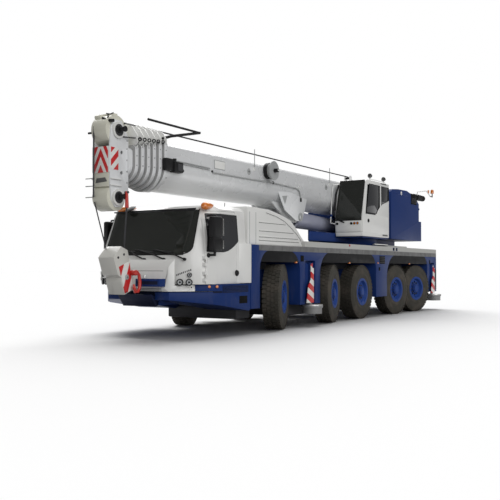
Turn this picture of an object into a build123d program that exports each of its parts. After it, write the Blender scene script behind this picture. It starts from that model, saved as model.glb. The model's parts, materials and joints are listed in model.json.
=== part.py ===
from build123d import *
import os
from math import atan2, cos, radians, sin

os.makedirs("parts", exist_ok=True)

# Five-axle mobile crane with a seven-section telescopic boom, in millimetres.
# +X is forward, +Y is the driver's left and +Z is up. Every x below is measured
# forward from the front axle. The origin is the middle of the overall box, on the ground.

# Overall reach of the crane before and behind the front axle
FRONT_REACH = 4120.0
REAR_REACH = 9920.0
FRONT_AXLE_X = (REAR_REACH - FRONT_REACH) / 2

# Clearances
SEAT_GAP = 0.3
BEARING_GAP = 0.05
MOVING_GAP = 8.0

# Wheels
TYRE_RADIUS = 684.5
TYRE_WIDTH = 385.0
BEAD_RADIUS = 318.0
OUTER_FACE_Y = 1375.0
WHEEL_Y = OUTER_FACE_Y - TYRE_WIDTH / 2
RIM_WALL = 30.0
RIM_FLANGE = 27.0
FLANGE_THICKNESS = 12.0
HUB_RADIUS = 130.0
SPINDLE_RADIUS = 80.0
HAND_HOLE_RADIUS = 32.0
HAND_HOLE_COUNT = 10
BEAD_HALF_WIDTH = TYRE_WIDTH / 2 - 24
TREAD_HALF_WIDTH = TYRE_WIDTH / 2 - 30

# Axles: place from the front axle and steering angle at rest, in degrees to the left
AXLES = [
    # number, x, steer
    (1, 0.0, 20.0),
    (2, -2450.0, 13.0),
    (3, -4100.0, 0.0),
    (4, -6510.0, -8.0),
    (5, -8160.0, -15.0),
]
SIDES = [("left", 1), ("right", -1)]
UNSTEERED_AXLE = 3

# Axle beam and steering head
BEAM_HALF_DEPTH = 90.0
BEAM_HALF_HEIGHT = 100.0
BEAM_HALF_SPAN = 780.0
KINGPIN_RADIUS = 30.0
KINGPIN_BODY_RADIUS = 62.0
FORK_INNER = 130.0
FORK_OUTER = 165.0
FORK_HALF_DEPTH = 60.0
STRUT_RADIUS = 60.0
STRUT_Y = 500.0
STRUT_TOP = 1060.0

# Chassis
CHASSIS_HALF_WIDTH = 420.0
CHASSIS_BOTTOM = 860.0
CHASSIS_TOP = 1380.0
CHASSIS_FRONT = 1300.0
NOSE_FRONT = 2940.0
NOSE_BOTTOM = 600.0
CAB_FLOOR = 990.0
SKIRT_BOTTOM = 490.0
# Room over the tyre's crown for the springs to close
SPRING_ROOM = 267.0
GUARD_ROOM = 41.0
SKIRT_TOP = 2 * TYRE_RADIUS + SPRING_ROOM
FLARE_RATIO = 1.2
RING_RADIUS = 950.0
RING_SEAT_TOP = SKIRT_TOP + 264.0
SLEW_X = -5850.0

# Decks and mudguards
DECK_INNER_Y = 470.0
DECK_LOWER_TOP = SKIRT_TOP + 111.0
DECK_UPPER_TOP = DECK_LOWER_TOP + 126.0
DECK_FRONT = 1000.0
WALKWAY_FRONT = -950.0
MUDGUARD_BOTTOM = 2 * TYRE_RADIUS + GUARD_ROOM
RING_CUTOUT = 1010.0

# Outriggers
OUTRIGGER_XS = [("front", -1200.0), ("rear", -9480.0)]
BEAM_WIDTH = 440.0
BEAM_HEIGHT = 280.0
BEAM_BOTTOMS = {"left": 1000.0, "right": 690.0}
BEAM_INNER_Y = -1200.0
BEAM_END_Y = 1290.0
END_PLATE_THICKNESS = 40.0
RECESS_HALF_WIDTH = 240.0
RECESS_TOP = 1450.0
RECESS_WALL_Y = 1260.0
JACK_Y = 1370.0
JACK_RADIUS = 60.0
JACK_TOP = 1400.0
JACK_BOTTOM = 550.0
ROD_RADIUS = 45.0
ROD_TOP = 1350.0
PAD_RADIUS = 240.0
PAD_OFFSET_Y = 50.0
PAD_BOTTOM = 280.0
PAD_TOP = 470.0
COVER_THICKNESS = 15.0

# Driver's cab
CAB_REAR = 1360.0
CAB_HALF_WIDTH = 1290.0
CAB_TOP_HALF_WIDTH = 1240.0
CAB_WALL = 60.0
CAB_ROOF = 2450.0
DOOR_GAP = 6.0
GLASS_THICKNESS = 10.0

# Engine housing
HOUSING_HALF_WIDTH = 1300.0
HOUSING_WALL = 40.0

# Superstructure
PLATFORM_BOTTOM = RING_SEAT_TOP + 75.0
PLATFORM_TOP = PLATFORM_BOTTOM + 225.0
SIDE_PLATE_INNER = 450.0
SIDE_PLATE_OUTER = 510.0
PIVOT_X = -8200.0
PIVOT_Z = 3150.0
PIVOT_RADIUS = 90.0
LUFF_BASE_X = -7000.0
LUFF_BASE_Z = 2390.0
LUFF_HEAD_X = -2450.0
LUFF_HEAD_Z = 2520.0
LUFF_PIN_RADIUS = 70.0
LUFF_BARREL_RADIUS = 170.0
LUFF_ROD_RADIUS = 130.0
LUFF_EYE_RADIUS = 150.0
LUFF_EYE_HALF_WIDTH = 130.0

# Operator's cab
OP_INNER_Y = 520.0
OP_OUTER_Y = 1300.0
OP_REAR = -6100.0
OP_BOTTOM = PLATFORM_TOP
OP_TOP = 3600.0
OP_WALL = 50.0

# Boom
SECTION_COUNT = 6
BASE_RADIUS = 430.0
NEST_STEP = 30.0
TUBE_WALL = 14.0
BOOM_ARC_Z = 3130.0
BOOM_FLAT_HEIGHT = 470.0
BOOM_CORNER = 45.0
BASE_REAR = -7750.0
BASE_TO_HEAD = 990.0
COLLAR_LENGTH = 100.0
COLLAR_PITCH = 130.0
COLLAR_RISE = 30.0
REAR_STEP = 60.0
GUARD_RADIUS = 270.0
HEAD_SHEAVE_X = FRONT_REACH - GUARD_RADIUS
BASE_FRONT = HEAD_SHEAVE_X - BASE_TO_HEAD
HEAD_SHEAVE_RADIUS = 235.0
UPPER_SHEAVE_Z = 3700.0
LOWER_SHEAVE_Z = 2520.0
HEAD_HALF_WIDTH = 200.0
HEAD_PLATE = 30.0
HEAD_PIN_RADIUS = 32.0

# Hook block and its fall of rope
ROPE_RADIUS = 11.0
ROPE_Y = -120.0
# Where the tie on the bumper draws the fall to
TIE_X = 3566.0
TIE_Z = 1110.0
BLOCK_Y = (-310.0, 190.0)


def finish(piece, label):
    """Label a finished piece and write it."""
    piece.part.label = label
    export_step(piece.part, f"parts/{label}.step")


def side_plane(y):
    """An upright plane along the crane: local x forward, local y up, facing right."""
    return Plane(origin=(FRONT_AXLE_X, y, 0), x_dir=(1, 0, 0), z_dir=(0, -1, 0))


def cross_plane(x):
    """An upright plane across the crane: local x to the left, local y up, facing forward."""
    return Plane(origin=(FRONT_AXLE_X + x, 0, 0), x_dir=(0, 1, 0), z_dir=(1, 0, 0))


def level_plane(z):
    """A level plane: local x forward from the front axle, local y to the left."""
    return Plane(origin=(FRONT_AXLE_X, 0, z), x_dir=(1, 0, 0), z_dir=(0, 0, 1))


def block(x, y, z, mode=Mode.ADD):
    """A block between two values of x, of y and of z."""
    middle = (FRONT_AXLE_X + (x[0] + x[1]) / 2, (y[0] + y[1]) / 2, (z[0] + z[1]) / 2)
    with Locations(middle):
        Box(abs(x[1] - x[0]), abs(y[1] - y[0]), abs(z[1] - z[0]), mode=mode)


def slab(outline, y, mode=Mode.ADD):
    """A side outline of x and z, filled between two values of y."""
    low, high = min(y), max(y)
    with BuildSketch(side_plane(high)) as face:
        with BuildLine():
            Polyline(*outline, close=True)
        make_face()
    extrude(face.sketch, amount=high - low, mode=mode)


def cross_slab(outline, x, mode=Mode.ADD):
    """A front outline of y and z, filled between two values of x."""
    low, high = min(x), max(x)
    with BuildSketch(cross_plane(low)) as face:
        with BuildLine():
            Polyline(*outline, close=True)
        make_face()
    extrude(face.sketch, amount=high - low, mode=mode)


def level_slab(outline, z, mode=Mode.ADD):
    """A plan outline of x and y, filled between two heights."""
    with BuildSketch(level_plane(z[0])) as face:
        with BuildLine():
            Polyline(*outline, close=True)
        make_face()
    extrude(face.sketch, amount=z[1] - z[0], mode=mode)


def cross_pin(x, z, radius, y, mode=Mode.ADD):
    """A round bar across the crane between two values of y."""
    low, high = min(y), max(y)
    with BuildSketch(side_plane(high)) as face:
        with Locations((x, z)):
            Circle(radius)
    extrude(face.sketch, amount=high - low, mode=mode)


def upright_pin(x, y, radius, z, mode=Mode.ADD):
    """A round upright bar between two heights."""
    with BuildSketch(level_plane(z[0])) as face:
        with Locations((x, y)):
            Circle(radius)
    extrude(face.sketch, amount=z[1] - z[0], mode=mode)


def both_ways(side, low, high):
    """Two values of y on one side of the crane, in rising order."""
    return tuple(sorted((side * low, side * high)))


# Wheels, turned about their own axle line


def wheel_plane(axle_x, side, steer):
    """The radial plane of a wheel: local x outwards along its axle, local y up."""
    outward = Vector(-side * sin(radians(steer)), side * cos(radians(steer)), 0)
    centre = Vector(FRONT_AXLE_X + axle_x, side * WHEEL_Y, TYRE_RADIUS)
    return Plane(origin=centre, x_dir=outward, z_dir=outward.cross(Vector(0, 0, 1)))


def turned(plane, outline, mode=Mode.ADD):
    """A solid of revolution about a wheel's axle line, from its half outline."""
    with BuildSketch(plane) as face:
        with BuildLine():
            Polyline(*outline, close=True)
        make_face()
    revolve(face.sketch, axis=Axis(plane.origin, plane.x_dir), mode=mode)


TYRE_OUTLINE = [
    # outwards, radius
    (-BEAD_HALF_WIDTH, BEAD_RADIUS),
    (-TYRE_WIDTH / 2, TYRE_RADIUS - 190),
    (-TYRE_WIDTH / 2 + 8, TYRE_RADIUS - 60),
    (-TREAD_HALF_WIDTH, TYRE_RADIUS - 8),
    (-TREAD_HALF_WIDTH + 60, TYRE_RADIUS),
    (TREAD_HALF_WIDTH - 60, TYRE_RADIUS),
    (TREAD_HALF_WIDTH, TYRE_RADIUS - 8),
    (TYRE_WIDTH / 2 - 8, TYRE_RADIUS - 60),
    (TYRE_WIDTH / 2, TYRE_RADIUS - 190),
    (BEAD_HALF_WIDTH, BEAD_RADIUS),
]

BARREL_RADIUS = BEAD_RADIUS - SEAT_GAP
BARREL_INNER = BARREL_RADIUS - RIM_WALL
FLANGE_START = BEAD_HALF_WIDTH + 5
FLANGE_END = FLANGE_START + FLANGE_THICKNESS
DISC_INNER = 95.0
DISC_OUTER = 118.0
HUB_INNER = 78.0
HUB_OUTER = 172.0
CAP_OUTER = TYRE_WIDTH / 2 - 4
CAP_RADIUS = 95.0
BORE_END = 150.0

RIM_OUTLINE = [
    # outwards, radius
    (-FLANGE_END, BARREL_INNER),
    (-FLANGE_END, BARREL_RADIUS + RIM_FLANGE),
    (-FLANGE_START, BARREL_RADIUS + RIM_FLANGE),
    (-FLANGE_START, BARREL_RADIUS),
    (FLANGE_START, BARREL_RADIUS),
    (FLANGE_START, BARREL_RADIUS + RIM_FLANGE),
    (FLANGE_END, BARREL_RADIUS + RIM_FLANGE),
    (FLANGE_END, BARREL_INNER),
    (DISC_OUTER, BARREL_INNER - 40),
    (DISC_OUTER, HUB_RADIUS),
    (HUB_OUTER, HUB_RADIUS),
    (HUB_OUTER, CAP_RADIUS),
    (CAP_OUTER, CAP_RADIUS),
    (CAP_OUTER, 0),
    (BORE_END, 0),
    (BORE_END, SPINDLE_RADIUS + BEARING_GAP),
    (HUB_INNER, SPINDLE_RADIUS + BEARING_GAP),
    (HUB_INNER, HUB_RADIUS),
    (DISC_INNER, HUB_RADIUS),
    (DISC_INNER, BARREL_INNER - 40),
    (DISC_INNER - 60, BARREL_INNER),
]

for number, axle_x, steer in AXLES:
    for side_name, side in SIDES:
        plane = wheel_plane(axle_x, side, steer)
        with BuildPart() as tyre:
            turned(plane, TYRE_OUTLINE)
        finish(tyre, f"tyre_{number}_{side_name}")

        with BuildPart() as rim:
            turned(plane, RIM_OUTLINE)
            hole_plane = Plane(
                origin=plane.origin + plane.x_dir * (DISC_INNER - 10),
                x_dir=plane.y_dir,
                z_dir=plane.x_dir,
            )
            with BuildSketch(hole_plane):
                with PolarLocations((HUB_RADIUS + BARREL_INNER - 40) / 2, HAND_HOLE_COUNT):
                    Circle(HAND_HOLE_RADIUS)
            extrude(amount=DISC_OUTER - DISC_INNER + 20, mode=Mode.SUBTRACT)
        finish(rim, f"rim_{number}_{side_name}")

        # Steering knuckle: an upright body on its kingpin, with the wheel's spindle
        if number == UNSTEERED_AXLE:
            continue
        with BuildPart() as knuckle:
            upright_pin(
                axle_x,
                side * WHEEL_Y,
                KINGPIN_BODY_RADIUS,
                (TYRE_RADIUS - FORK_INNER + SEAT_GAP, TYRE_RADIUS + FORK_INNER - SEAT_GAP),
            )
            upright_pin(
                axle_x,
                side * WHEEL_Y,
                KINGPIN_RADIUS,
                (TYRE_RADIUS - FORK_OUTER, TYRE_RADIUS + FORK_OUTER),
            )
            turned(plane, [(0, 0), (0, SPINDLE_RADIUS), (BORE_END - 6, SPINDLE_RADIUS), (BORE_END - 6, 0)])
        finish(knuckle, f"knuckle_{number}_{side_name}")

# Axle beams with fork ends, or with plain spindles on the axle that doesn't steer

BEAM_Z = (TYRE_RADIUS - BEAM_HALF_HEIGHT, TYRE_RADIUS + BEAM_HALF_HEIGHT)

with BuildPart() as axle_beams:
    for number, axle_x, steer in AXLES:
        depth = (axle_x - BEAM_HALF_DEPTH, axle_x + BEAM_HALF_DEPTH)
        block(depth, (-BEAM_HALF_SPAN, BEAM_HALF_SPAN), BEAM_Z)
        for side_name, side in SIDES:
            upright_pin(axle_x, side * STRUT_Y, STRUT_RADIUS, (TYRE_RADIUS, STRUT_TOP))
            if number == UNSTEERED_AXLE:
                spindle_y = both_ways(side, BEAM_HALF_SPAN, WHEEL_Y + BORE_END - 6)
                cross_pin(axle_x, TYRE_RADIUS, SPINDLE_RADIUS, spindle_y)
                continue
            arm_depth = (axle_x - FORK_HALF_DEPTH, axle_x + FORK_HALF_DEPTH)
            fork_y = both_ways(side, BEAM_HALF_SPAN - 60, BEAM_HALF_SPAN + 40)
            block(arm_depth, fork_y, (TYRE_RADIUS - FORK_OUTER, TYRE_RADIUS + FORK_OUTER))
            for level in (-1, 1):
                arm_z = tuple(sorted((TYRE_RADIUS + level * FORK_INNER, TYRE_RADIUS + level * FORK_OUTER)))
                block(arm_depth, both_ways(side, BEAM_HALF_SPAN, WHEEL_Y), arm_z)
                upright_pin(axle_x, side * WHEEL_Y, FORK_HALF_DEPTH, arm_z)
                upright_pin(
                    axle_x, side * WHEEL_Y, KINGPIN_RADIUS + BEARING_GAP, arm_z, mode=Mode.SUBTRACT
                )
finish(axle_beams, "axle_beams")

# Chassis frame: centre box, blue side columns with flared tops, outrigger boxes, slew ring seat


def before_wheel(number, room):
    """A place in front of an axle's tyres, with some room between."""
    return AXLES[number - 1][1] + TYRE_RADIUS + room


def behind_wheel(number, room):
    """A place behind an axle's tyres, with some room between."""
    return AXLES[number - 1][1] - TYRE_RADIUS - room


# Room from the tyres to the columns: more where the wheels steer far out
COLUMN_1_REAR = before_wheel(1, 279.5)
COLUMN_2_FRONT = behind_wheel(1, 35.5)
COLUMN_2_REAR = before_wheel(2, 80.5)
COLUMN_3_FRONT = behind_wheel(3, 195.5)
COLUMN_3_REAR = before_wheel(4, 85.5)
COLUMN_4_FRONT = behind_wheel(5, 199.5)

SKIRTS = [
    # front flare, front edge, rear edge, rear flare, bottom
    (CHASSIS_FRONT + 4, CHASSIS_FRONT + 4, COLUMN_1_REAR, COLUMN_1_REAR - 313, SKIRT_BOTTOM),
    (COLUMN_2_FRONT + 362, COLUMN_2_FRONT, COLUMN_2_REAR, COLUMN_2_REAR - 414, SKIRT_BOTTOM),
    (COLUMN_3_FRONT + 338, COLUMN_3_FRONT, COLUMN_3_REAR, COLUMN_3_REAR - 532, 525.0),
    (COLUMN_4_FRONT + 274, COLUMN_4_FRONT, -REAR_REACH, -REAR_REACH, 550.0),
]


def flare_start(edge, flare):
    """Height where a column's upright edge starts to flare out to the deck."""
    return SKIRT_TOP - FLARE_RATIO * abs(flare - edge)


def skirt(flare_front, front, rear, flare_rear, bottom, y):
    """A side column that flares out in arcs under the deck, between two values of y."""
    low, high = min(y), max(y)
    front_start, rear_start = flare_start(front, flare_front), flare_start(rear, flare_rear)
    with BuildSketch(side_plane(high)) as face:
        with BuildLine():
            if flare_front == front:
                Line((front, bottom), (front, SKIRT_TOP))
            else:
                Line((front, bottom), (front, front_start))
                TangentArc((front, front_start), (flare_front, SKIRT_TOP), tangent=(0, 1))
            Line((flare_front, SKIRT_TOP), (flare_rear, SKIRT_TOP))
            if flare_rear == rear:
                Line((rear, SKIRT_TOP), (rear, bottom))
            else:
                TangentArc((rear, rear_start), (flare_rear, SKIRT_TOP), tangent=(0, 1))
                Line((rear, rear_start), (rear, bottom))
            Line((rear, bottom), (front, bottom))
        make_face()
    extrude(face.sketch, amount=high - low)


STEP_PANEL = [
    (3050.0, 845.0),
    (3050.0, 705.0),
    (CAB_REAR, 460.0),
    (CHASSIS_FRONT, SKIRT_BOTTOM),
    (CHASSIS_FRONT, CAB_FLOOR - DOOR_GAP),
    (2440.0, CAB_FLOOR - DOOR_GAP),
    (2440.0, 845.0),
]
# Plan of the front end below the cab, with cut corners
FRONT_PLAN = [
    (CHASSIS_FRONT - 100, -OUTER_FACE_Y + 15),
    (2280.0, -OUTER_FACE_Y + 15),
    (2480.0, -1250.0),
    (3060.0, -710.0),
    (3100.0, -600.0),
    (3100.0, 600.0),
    (3060.0, 710.0),
    (2480.0, 1250.0),
    (2280.0, OUTER_FACE_Y - 15),
    (CHASSIS_FRONT - 100, OUTER_FACE_Y - 15),
]

with BuildPart() as step_panels:
    for side_name, side in SIDES:
        slab(STEP_PANEL, both_ways(side, CHASSIS_HALF_WIDTH - 20, OUTER_FACE_Y))
    level_slab(FRONT_PLAN, (400.0, CAB_FLOOR), mode=Mode.INTERSECT)

with BuildPart() as chassis_frame:
    block((-REAR_REACH + 40, CHASSIS_FRONT), (-CHASSIS_HALF_WIDTH, CHASSIS_HALF_WIDTH), (CHASSIS_BOTTOM, CHASSIS_TOP))
    nose_z = (NOSE_BOTTOM, CAB_FLOOR)
    block((CHASSIS_FRONT - 300, NOSE_FRONT), (-CHASSIS_HALF_WIDTH, CHASSIS_HALF_WIDTH), nose_z)
    for side_name, side in SIDES:
        inner_y = CHASSIS_HALF_WIDTH - 20
        for skirt_row in SKIRTS:
            skirt(*skirt_row, both_ways(side, inner_y, OUTER_FACE_Y))
        column_x = (DECK_FRONT, CHASSIS_FRONT + 4)
        block(column_x, both_ways(side, inner_y, OUTER_FACE_Y), (SKIRT_TOP - 10, DECK_LOWER_TOP))
        for number, axle_x, steer in AXLES:
            strut_x = (axle_x - STRUT_RADIUS - 10, axle_x + STRUT_RADIUS + 10)
            block(strut_x, both_ways(side, inner_y, STRUT_Y + STRUT_RADIUS), (STRUT_TOP, STRUT_TOP + 120))
    add(step_panels.part)
    upright_pin(SLEW_X, 0, RING_RADIUS, (CHASSIS_TOP - 20, RING_SEAT_TOP))
    for position, box_x in OUTRIGGER_XS:
        tunnel_half = BEAM_WIDTH / 2 + MOVING_GAP
        for side_name, side in SIDES:
            beam_bottom = BEAM_BOTTOMS[side_name]
            block(
                (box_x - tunnel_half, box_x + tunnel_half),
                (-RECESS_WALL_Y, RECESS_WALL_Y),
                (beam_bottom - SEAT_GAP, beam_bottom + BEAM_HEIGHT + MOVING_GAP),
                mode=Mode.SUBTRACT,
            )
            block(
                (box_x - RECESS_HALF_WIDTH, box_x + RECESS_HALF_WIDTH),
                both_ways(side, RECESS_WALL_Y, OUTER_FACE_Y + 10),
                (0, RECESS_TOP),
                mode=Mode.SUBTRACT,
            )
finish(chassis_frame, "chassis_frame")

# Engine: one plain block on the chassis, under its housing

ENGINE_X = (-480.0, 950.0)
ENGINE_TOP = 2020.0
with BuildPart() as engine_block:
    block(ENGINE_X, (-CHASSIS_HALF_WIDTH + 20, CHASSIS_HALF_WIDTH - 20), (CHASSIS_TOP, ENGINE_TOP))
finish(engine_block, "engine_block")

# Decks: walkway plates along both sides, with the mudguards over the wheels under them

MUDGUARDS = [
    # front flare, front edge, rear edge, rear flare
    (COLUMN_1_REAR - 313, COLUMN_1_REAR, COLUMN_2_FRONT, COLUMN_2_FRONT + 362),
    (COLUMN_2_REAR - 414, COLUMN_2_REAR, COLUMN_3_FRONT, COLUMN_3_FRONT + 338),
    (COLUMN_3_REAR - 532, COLUMN_3_REAR, COLUMN_4_FRONT, COLUMN_4_FRONT + 274),
]


def mudguard(flare_front, front, rear, flare_rear, y):
    """A dark guard between two flares: its ends follow the columns' arcs."""
    low, high = min(y), max(y)
    front_start, rear_start = flare_start(front, flare_front), flare_start(rear, flare_rear)
    with BuildSketch(side_plane(high)) as face:
        with BuildLine():
            TangentArc((front, front_start), (flare_front, SKIRT_TOP), tangent=(0, 1))
            Line((flare_front, SKIRT_TOP), (flare_rear, SKIRT_TOP))
            TangentArc((rear, rear_start), (flare_rear, SKIRT_TOP), tangent=(0, 1))
            Line((rear, rear_start), (front, front_start))
        make_face()
        with Locations(((front + rear) / 2, MUDGUARD_BOTTOM)):
            Rectangle(front - rear, MUDGUARD_BOTTOM, align=(Align.CENTER, Align.MAX), mode=Mode.SUBTRACT)
    extrude(face.sketch, amount=high - low)


with BuildPart() as deck_plates:
    for side_name, side in SIDES:
        deck_y = both_ways(side, DECK_INNER_Y, OUTER_FACE_Y)
        block((-REAR_REACH, DECK_FRONT), deck_y, (SKIRT_TOP, DECK_LOWER_TOP))
        block((-REAR_REACH, WALKWAY_FRONT), deck_y, (DECK_LOWER_TOP, DECK_UPPER_TOP))
        for guard_row in MUDGUARDS:
            mudguard(*guard_row, deck_y)
        block((-7450.0, -6050.0), both_ways(side, 1050.0, OUTER_FACE_Y - 60), (DECK_UPPER_TOP, DECK_UPPER_TOP + 37))
    upright_pin(SLEW_X, 0, RING_CUTOUT, (MUDGUARD_BOTTOM - 50, PLATFORM_BOTTOM), mode=Mode.SUBTRACT)
finish(deck_plates, "deck_plates")

# Driver's cab: a hollow shell with a raked windscreen, split where its doors meet it

CAB_SIDE = [
    (CAB_REAR, CAB_FLOOR),
    (2960.0, CAB_FLOOR),
    (2960.0, 1330.0),
    (2900.0, 1520.0),
    (2500.0, 2400.0),
    (2380.0, CAB_ROOF),
    (CAB_REAR + 60, CAB_ROOF),
    (CAB_REAR, 2400.0),
]
CAB_INSIDE = [
    (CAB_REAR + CAB_WALL, CAB_FLOOR + CAB_WALL),
    (2960.0 - CAB_WALL, CAB_FLOOR + CAB_WALL),
    (2960.0 - CAB_WALL, 1330.0),
    (2900.0 - CAB_WALL, 1500.0),
    (2460.0 - CAB_WALL, CAB_ROOF - CAB_WALL),
    (CAB_REAR + CAB_WALL, CAB_ROOF - CAB_WALL),
]
CAB_FRONT = [
    (-CAB_HALF_WIDTH, CAB_FLOOR),
    (CAB_HALF_WIDTH, CAB_FLOOR),
    (CAB_HALF_WIDTH, 1800.0),
    (CAB_TOP_HALF_WIDTH, 2380.0),
    (CAB_TOP_HALF_WIDTH - 80, CAB_ROOF),
    (-CAB_TOP_HALF_WIDTH + 80, CAB_ROOF),
    (-CAB_TOP_HALF_WIDTH, 2380.0),
    (-CAB_HALF_WIDTH, 1800.0),
]
CAB_FRONT_INSIDE = [
    (-CAB_HALF_WIDTH + CAB_WALL, CAB_FLOOR + CAB_WALL),
    (CAB_HALF_WIDTH - CAB_WALL, CAB_FLOOR + CAB_WALL),
    (CAB_HALF_WIDTH - CAB_WALL, 1800.0),
    (CAB_TOP_HALF_WIDTH - CAB_WALL, CAB_ROOF - CAB_WALL),
    (-CAB_TOP_HALF_WIDTH + CAB_WALL, CAB_ROOF - CAB_WALL),
    (-CAB_HALF_WIDTH + CAB_WALL, 1800.0),
]
# Plan of the cab below its windscreen, and the direction in which the plan leans back above that
CAB_CORNER = [
    (2400.0, CAB_HALF_WIDTH),
    (2497.0, 1280.0),
    (2610.0, 1243.0),
    (2713.0, 1179.0),
    (2803.0, 1091.0),
    (2875.0, 984.0),
    (2926.0, 862.0),
    (2951.0, 753.0),
    (2960.0, 640.0),
]
CAB_PLAN = [
    (800.0, -CAB_HALF_WIDTH),
    *[(x, -y) for x, y in CAB_CORNER],
    *reversed(CAB_CORNER),
    (800.0, CAB_HALF_WIDTH),
]
WINDSCREEN_LOW = 1520.0
WINDSCREEN_SLOPE = Vector(2500.0 - 2900.0, 0, 2400.0 - WINDSCREEN_LOW)

DOOR_OUTLINE = [
    (1700.0, CAB_FLOOR),
    (2630.0, CAB_FLOOR),
    (2630.0, 1600.0),
    (2500.0, 2330.0),
    (1700.0, 2350.0),
]
DOOR_WINDOW = [
    (1775.0, 1760.0),
    (2215.0, 1585.0),
    (2565.0, 1606.0),
    (2455.0, 2280.0),
    (1775.0, 2290.0),
]
DOOR_INNER_Y = 1040.0
DOOR_OUTER_Y = 1500.0
HINGE_X = 2650.0
HINGE_Y = 1256.0
HINGE_RADIUS = 14.0
HINGES = [1100.0, 1380.0]
HINGE_LENGTH = 60.0


def door_zone(side, gap):
    """The space of one door, grown by a gap, that leaves the floor's edge to the cab."""
    with BuildPart() as zone:
        with BuildSketch(side_plane(max(both_ways(side, DOOR_INNER_Y, DOOR_OUTER_Y)))) as face:
            with BuildLine():
                Polyline(*DOOR_OUTLINE, close=True)
            make_face()
            if gap:
                offset(amount=gap, kind=Kind.INTERSECTION)
        extrude(amount=DOOR_OUTER_Y - DOOR_INNER_Y)
        sill_y = both_ways(side, DOOR_INNER_Y - 50, CAB_HALF_WIDTH - CAB_WALL - gap)
        block((CAB_REAR, 3000.0), sill_y, (0, CAB_FLOOR + CAB_WALL), mode=Mode.SUBTRACT)
    return zone.part


def hinge_leaf(side, x, y, z):
    """A hinge's round barrel and its flat leaf between two values of x."""
    upright_pin(HINGE_X, side * HINGE_Y, HINGE_RADIUS, z)
    block(x, both_ways(side, *y), z)


def cab_prism(inset):
    """The cab's plan, drawn in by an inset: upright below the windscreen, leaning back beside it."""
    with BuildPart() as prism:
        with BuildSketch(level_plane(WINDSCREEN_LOW)) as face:
            with BuildLine():
                Polyline(*CAB_PLAN, close=True)
            make_face()
            if inset:
                offset(amount=-inset, kind=Kind.INTERSECTION)
        extrude(face.sketch, amount=-(WINDSCREEN_LOW - CAB_FLOOR))
        extrude(face.sketch, amount=CAB_ROOF - WINDSCREEN_LOW + 200, dir=WINDSCREEN_SLOPE)
    return prism.part


with BuildPart() as cab_outside:
    slab(CAB_SIDE, (-DOOR_OUTER_Y, DOOR_OUTER_Y))
    cross_slab(CAB_FRONT, (CAB_REAR - 100, 3200.0), mode=Mode.INTERSECT)
    add(cab_prism(0), mode=Mode.INTERSECT)

with BuildPart() as cab_space:
    slab(CAB_INSIDE, (-DOOR_OUTER_Y, DOOR_OUTER_Y))
    cross_slab(CAB_FRONT_INSIDE, (CAB_REAR - 100, 3200.0), mode=Mode.INTERSECT)
    add(cab_prism(CAB_WALL), mode=Mode.INTERSECT)

WINDSCREEN_PLANE = Plane(
    origin=(FRONT_AXLE_X + 2900.0, 0, WINDSCREEN_LOW),
    x_dir=(0, 1, 0),
    z_dir=(WINDSCREEN_SLOPE.Z, 0, -WINDSCREEN_SLOPE.X),
)
# Up the slope of the windscreen from its lower edge
WINDSCREEN = [
    (-700.0, 20.0),
    (700.0, 20.0),
    (700.0, 900.0),
    (-700.0, 900.0),
]
SEATS = [("driver_seat", 620.0), ("passenger_seat", -620.0)]

with BuildPart() as driver_cab:
    add(cab_outside.part)
    add(cab_space.part, mode=Mode.SUBTRACT)
    for side_name, side in SIDES:
        add(door_zone(side, DOOR_GAP), mode=Mode.SUBTRACT)
        for hinge_z in HINGES:
            for leaf_z in (hinge_z - HINGE_LENGTH - SEAT_GAP, hinge_z + HINGE_LENGTH + SEAT_GAP):
                hinge_leaf(side, (HINGE_X, HINGE_X + 40), (1150.0, HINGE_Y), (leaf_z, leaf_z + HINGE_LENGTH))
    with BuildSketch(WINDSCREEN_PLANE):
        with BuildLine():
            Polyline(*WINDSCREEN, close=True)
        make_face()
    extrude(amount=150.0, both=True, mode=Mode.SUBTRACT)
    # Dashboard, seats and steering column stand on the floor inside
    block((2560.0, 2760.0), (-900.0, 900.0), (CAB_FLOOR + 30, 1450.0))
    for seat_name, seat_y in SEATS:
        block((1750.0, 2250.0), (seat_y - 250, seat_y + 250), (CAB_FLOOR + 30, 1420.0))
        block((1650.0, 1790.0), (seat_y - 250, seat_y + 250), (CAB_FLOOR + 30, 2050.0))
finish(driver_cab, "driver_cab")

with BuildPart() as driver_cab_glass:
    with BuildSketch(WINDSCREEN_PLANE.offset(-25.0)):
        with BuildLine():
            Polyline(*WINDSCREEN, close=True)
        make_face()
    extrude(amount=GLASS_THICKNESS)
finish(driver_cab_glass, "driver_cab_glass")

# Doors with their mirrors, each as thick as the cab's whole side

MIRROR_PLAN = [(2390.0, 1350.0), (2430.0, 1450.0), (2680.0, 1450.0), (2680.0, 1350.0)]

for side_name, side in SIDES:
    with BuildPart() as door:
        add(cab_outside.part)
        add(cab_space.part, mode=Mode.SUBTRACT)
        add(door_zone(side, 0), mode=Mode.INTERSECT)
        slab(DOOR_WINDOW, both_ways(side, DOOR_INNER_Y, DOOR_OUTER_Y), mode=Mode.SUBTRACT)
        for hinge_z in HINGES:
            hinge_leaf(side, (HINGE_X - 50, HINGE_X), (1234.0, HINGE_Y), (hinge_z, hinge_z + HINGE_LENGTH))
        # Mirror head on two arms
        level_slab([(x, side * y) for x, y in MIRROR_PLAN], (1610.0, 2200.0))
        block((2550.0, 2590.0), both_ways(side, 1200.0, 1400.0), (1500.0, 1540.0))
        block((2550.0, 2590.0), both_ways(side, 1370.0, 1400.0), (1500.0, 1620.0))
        block((2460.0, 2495.0), both_ways(side, 1160.0, 1400.0), (2190.0, 2215.0))
    finish(door, f"door_{side_name}")

# Front bumper with lamp housings and towing jaw

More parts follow.
